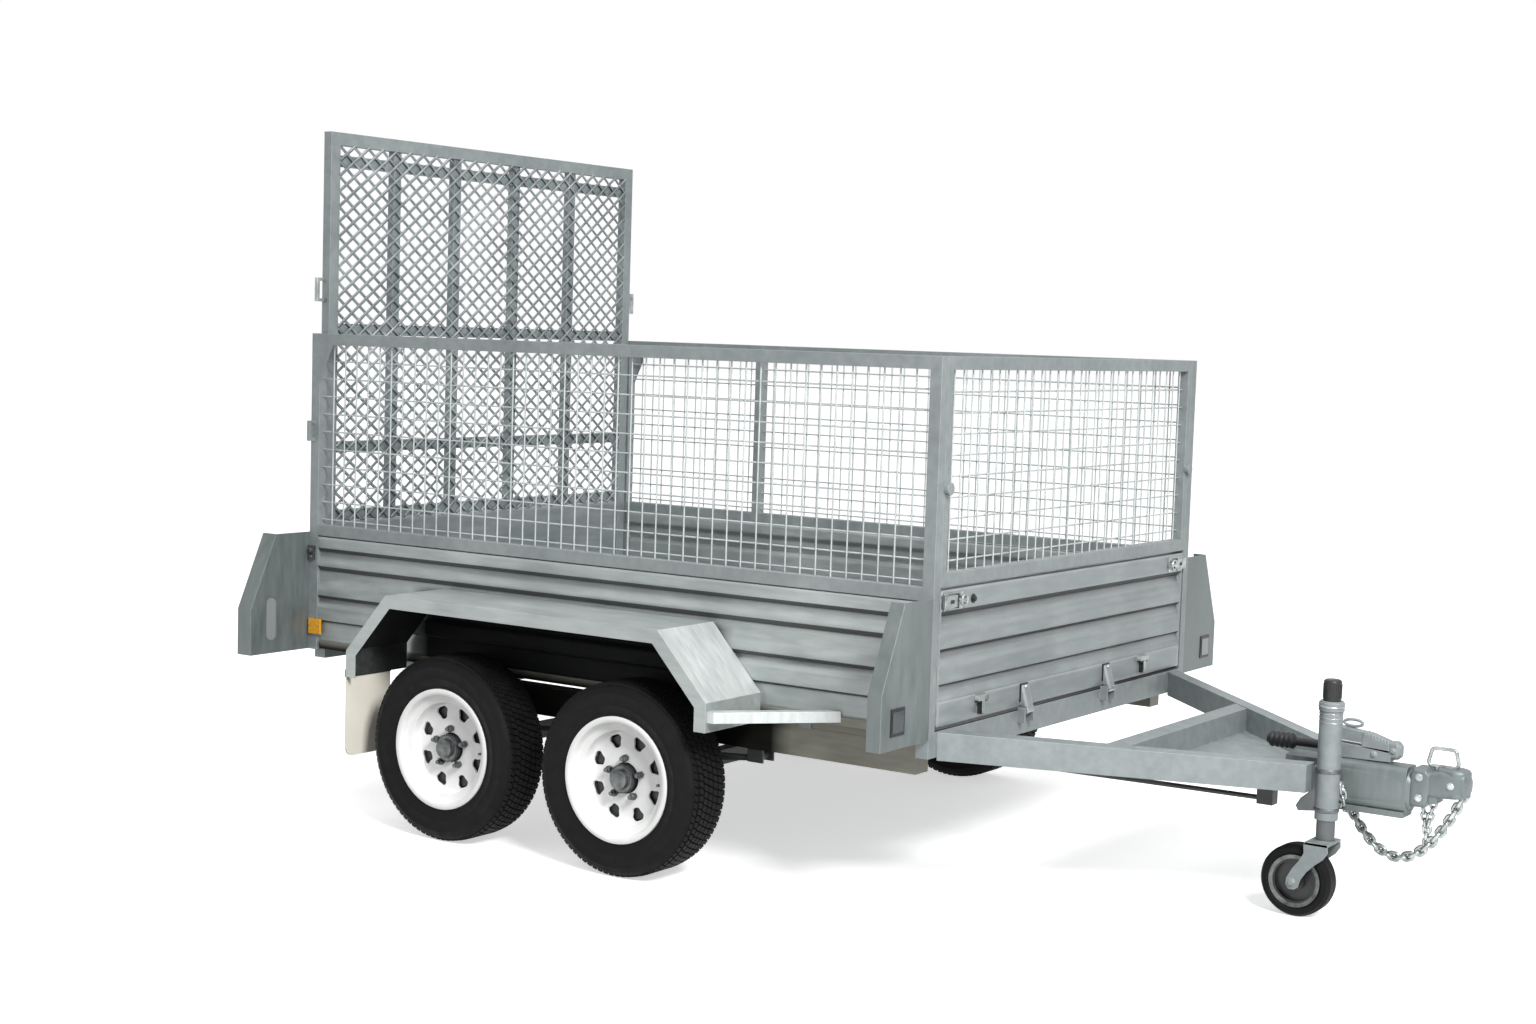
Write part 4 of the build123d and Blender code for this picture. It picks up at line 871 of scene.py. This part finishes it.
# ---- Rear corner catches and mudflap clamps ----
CATCH_FACE = BOX_HALF + 0.009
work = bmesh.new()
for s in (1, -1):
    brick(work, BOX_REAR + 0.001, BOX_REAR + 0.027, s * BOX_HALF, s * CATCH_FACE, 0.758, 0.802)
    for z, size in ((0.788, 0.0075), (0.768, 0.0055)):
        bolt(work, (BOX_REAR + 0.014, s * CATCH_FACE, z), 1, s, size)
finished("rear_corner_catches", work, CAP, "chassis", "zinc_plate")
(flap_rear, _, _), (flap_front, flap_y, flap_top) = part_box("mudflaps")
work = bmesh.new()
for s in (1, -1):
    brick(work, flap_rear - 0.003, flap_front + 0.003, s * 0.879, s * (flap_y + 0.001), flap_top - 0.022,
          flap_top + 0.001)
finished("mudflap_clamps", work, BLACK, "chassis", "galvanised")

# ---- Coupling: bulged cast body, collar with bolts, hooked nose and a round D-shaped handle ----
work = bmesh.new()
shell(work, ((1.989, 0.044, 0.306, 0.424, 0.026), (2.000, 0.0465, 0.301, 0.427, 0.034),
             (2.09, 0.0475, 0.3, 0.428, 0.04), (2.175, 0.0465, 0.302, 0.422, 0.04),
             (2.214, 0.043, 0.309, 0.416, 0.036), (2.224, 0.039, 0.316, 0.408, 0.03)))
shell(work, ((2.2245, 0.037, 0.326, 0.42, 0.012), (2.232, 0.04, 0.322, 0.428, 0.014),
             (2.262, 0.04, 0.324, 0.428, 0.014), (2.27, 0.037, 0.334, 0.42, 0.014)))
shell(work, ((2.266, 0.034, 0.35, 0.418, 0.014), (2.3, 0.037, 0.352, 0.428, 0.018),
             (2.338, 0.0375, 0.354, 0.432, 0.022), (2.362, 0.032, 0.358, 0.428, 0.022),
             (2.3715, 0.02, 0.372, 0.414, 0.018)))
finished("coupling_shell", work, WING, "chassis", "galvanised")
work = bmesh.new()
for s in (1, -1):
    for x, z, half in ((1.91, 0.392, 0.045), (1.965, 0.392, 0.045), (2.247, 0.405, 0.04),
                       (2.247, 0.35, 0.04), (2.33, 0.392, 0.0375)):
        bolt(work, (MID + x, s * half, z), 1, s, 0.0075)
finished("coupling_bolts", work, PLATED, "chassis", "zinc_plate")
HANDLE_ROUND = 0.012
work = bmesh.new()
path = []
for quarter, (x, z) in enumerate(((2.32, 0.47), (2.276, 0.47), (2.27, 0.446), (2.326, 0.446))):
    path += [(a, 0, b) for a, b in arc(MID + x, z, HANDLE_ROUND, pi / 2 * quarter, 5)]
bar(work, path, 0.0052, (0, 1, 0), closed=True, sides=10)
for x in (2.283, 2.313):
    turned(work, ((0.009, 0), (0.009, 0.01)), (MID + x, 0, 0.424), 2, 16)
finished("coupling_d_handle", work, PLATED, "chassis", "zinc_plate", "coupling_handle")

# ---- Jockey wheel: rings on the tube, ridges on the cap, and a pale ring inside the tyre ----
JOCKEY = (MID + 2.026, -0.112)
JOCKEY_AXLE = (MID + 1.958, JOCKEY[1], 0.098)
TUBE_BAND = ((0.0308, -0.002), (0.0322, -0.001), (0.0322, 0.001), (0.0308, 0.002))
TOP_BAND = ((0.0338, -0.004), (0.0355, 0), (0.0338, 0.004))
CLAMP_RING = ((0.0312, 0), (0.0318, 0), (0.0335, 0.003), (0.0335, 0.009), (0.0318, 0.012), (0.0312, 0.012))
work = bmesh.new()
for band, heights in ((TUBE_BAND, (0.535, 0.547, 0.559)), (TOP_BAND, (0.577,))):
    for z in heights:
        turned(work, band, (*JOCKEY, z), 2, closed=True)
finished("jockey_tube_bands", work, PLATED, "chassis", "zinc_plate")
work = bmesh.new()
brick(work, -0.001, 0.0014, -0.0012, 0.0012, 0.006, 0.044)
ridges = ring_of(meshed("ridge", work), 24, 0.0236, (*JOCKEY, 0.594), BLACK, turn=(0, 0, 0))
finished("jockey_cap_ridges", ridges, BLACK, "chassis", "black_plastic")
work = bmesh.new()
for s in (1, -1):
    turned(work, ((0.0605, s * 0.028), (0.0605, s * 0.0325), (0.0715, s * 0.0345), (0.0715, s * 0.028)),
           JOCKEY_AXLE, 1, 40, closed=True)
finished("jockey_wheel_rings", work, CAP, "jockey_wheel", "black_plastic")

# The gusset that holds the tube to the beam, with two clamp rings.
GUSSET = ((1.981, 0.412), (1.996, 0.412), (1.999, 0.292), (1.951, 0.286), (1.944, 0.3), (1.957, 0.322),
          (1.978, 0.34))
work = bmesh.new()
prism(work, [(MID + x, z) for x, z in GUSSET], 1, JOCKEY[1] - 0.012, JOCKEY[1])
for z in (0.292, 0.398):
    turned(work, CLAMP_RING, (*JOCKEY, z), 2, closed=True)
finished("jockey_mounting_gusset", work, DULL, "chassis", "zinc_plate", "jockey_clamp")

# The fork: two bent arms under a bridge, the collar and the pivot above it, and the axle.
ARM = ((2.051, 0.212), (2.053, 0.19), (2.04, 0.17), (2.02, 0.154), (1.998, 0.132), (1.982, 0.108),
       (1.976, 0.086), (1.966, 0.079), (1.95, 0.079), (1.942, 0.09), (1.943, 0.108), (1.958, 0.136),
       (1.976, 0.16), (1.988, 0.182), (1.986, 0.206), (1.992, 0.212))
ARM_IN, ARM_OUT = 0.046, 0.052
COLLAR = ((0.0262, 0), (0.034, 0), (0.03, 0.0035), (0.0275, 0.0048), (0.0262, 0.0048))
PIVOT = ((0.027, -0.006), (0.027, 0), (0.0118, 0), (0.0118, 0.034))
work = bmesh.new()
for s in (1, -1):
    prism(work, [(MID + x, z) for x, z in ARM], 1, JOCKEY[1] + s * ARM_IN, JOCKEY[1] + s * ARM_OUT)
    bolt(work, (JOCKEY_AXLE[0], JOCKEY[1] + s * ARM_OUT, JOCKEY_AXLE[2]), 1, s, 0.0085)
brick(work, MID + 1.988, MID + 2.052, JOCKEY[1] - ARM_OUT, JOCKEY[1] + ARM_OUT, 0.206, 0.213)
turned(work, COLLAR, (*JOCKEY, 0.212), 2, closed=True)
turned(work, PIVOT, (*JOCKEY, 0.2139), 2)
turned(work, ((0.008, -ARM_OUT), (0.008, ARM_OUT)), JOCKEY_AXLE, 1, 16)
finished("jockey_fork_arms", work, TUBE, "jockey_fork", "zinc_plate", "jockey_fork")

# ---- Mudguards: a paler skin on the sloped front plates ----
LIFT = 0.0004
top, foot = Vector((MID + 0.492, 0.715)), Vector((MID + 0.66, 0.535))
run = (foot - top).normalized()
out = Vector((-run.y, run.x)) * LIFT
work = bmesh.new()
for s in (1, -1):
    prism(work, (top + out, foot + out, foot, top), 1, s * 0.813, s * 1.0695)
finished("guard_front_plates", work, FRESH, "chassis", "galvanised")

# ---- Camera, floor and light ----
PIXELS_WIDE, FOCAL_PIXELS, SENSOR = 1536, 2206.3, 36.0
CAMERA_PLACE = (MID + 4.0492, -5.7812, 1.5217)
yaw, pitch, roll = radians(124.254), radians(-4.638), radians(1.792)
ahead = Vector((cos(yaw) * cos(pitch), sin(yaw) * cos(pitch), sin(pitch)))
level = Vector((sin(yaw), -cos(yaw), 0))
above = level.cross(ahead)
right = level * cos(roll) + above * sin(roll)
up = above * cos(roll) - level * sin(roll)
camera = placed("camera", bpy.data.cameras.new("camera"))
turn = Matrix((right, up, -ahead)).transposed().to_4x4()
camera.matrix_world = Matrix.Translation(CAMERA_PLACE) @ turn
camera.data.sensor_width = SENSOR
camera.data.lens = FOCAL_PIXELS / PIXELS_WIDE * SENSOR
camera.data.clip_end = 200
bpy.context.scene.camera = camera

FLOOR_HALF = 60
floor_mesh = bpy.data.meshes.new("studio_floor")
corners = [(a * FLOOR_HALF, b * FLOOR_HALF, 0) for a, b in ((-1, -1), (1, -1), (1, 1), (-1, 1))]
floor_mesh.from_pydata(corners, [], [(0, 1, 2, 3)])
studio_floor = placed("studio_floor", floor_mesh)
paper, tree, shader = blank("pale_studio_floor")
rays = node(tree, "ShaderNodeLightPath").outputs
seen = node(tree, "ShaderNodeMath", {0: rays["Is Camera Ray"], 1: rays["Is Glossy Ray"]}, operation="MAXIMUM")
shading = {"Factor": seen, MIX_A: linear("#858584"), MIX_B: linear("#FFFFFF")}
tone = node(tree, "ShaderNodeMix", shading, data_type="RGBA").outputs[MIX_COLOUR]
glow = node(tree, "ShaderNodeMath", {0: seen, 1: 0.55}, operation="MULTIPLY")
feed(tree, shader, {"Base Color": tone, "Emission Strength": glow, "Emission Color": (1, 1, 1, 1),
                    "Roughness": 0.9, "Specular IOR Level": 0.0})
floor_mesh.materials.append(paper)

world = bpy.data.worlds.new("studio")
bpy.context.scene.world = world
world.use_nodes = True
tree = world.node_tree
rays = node(tree, "ShaderNodeLightPath").outputs
DIFFUSE_LIGHT, SEEN_LIGHT = 0.58, 1.0
seen = rays["Is Camera Ray"]
for ray in ("Is Transmission Ray", "Is Glossy Ray"):
    seen = node(tree, "ShaderNodeMath", {0: seen, 1: rays[ray]}, operation="MAXIMUM")
strength = node(tree, "ShaderNodeMix", {"Factor": seen, 2: DIFFUSE_LIGHT, 3: SEEN_LIGHT}, data_type="FLOAT")
feed(tree, tree.nodes["Background"], {"Strength": strength, "Color": (1, 1, 1, 1)})


def lamp(name, place, target, size, watts):
    """A square soft lamp that points at a target."""
    data = bpy.data.lights.new(name, "AREA")
    data.shape = "SQUARE"
    data.size = size
    data.energy = watts
    obj = placed(name, data)
    obj.location = place
    obj.rotation_euler = (Vector(target) - Vector(place)).to_track_quat("-Z", "Y").to_euler()


lamp("overhead", (-1.0, -0.5, 6.5), (0, 0, 0.6), 6.0, 130)
lamp("front_key", (5.2, -4.0, 5.0), (0, 0, 0.7), 1.8, 620)
bpy.context.scene.view_settings.view_transform = "Standard"
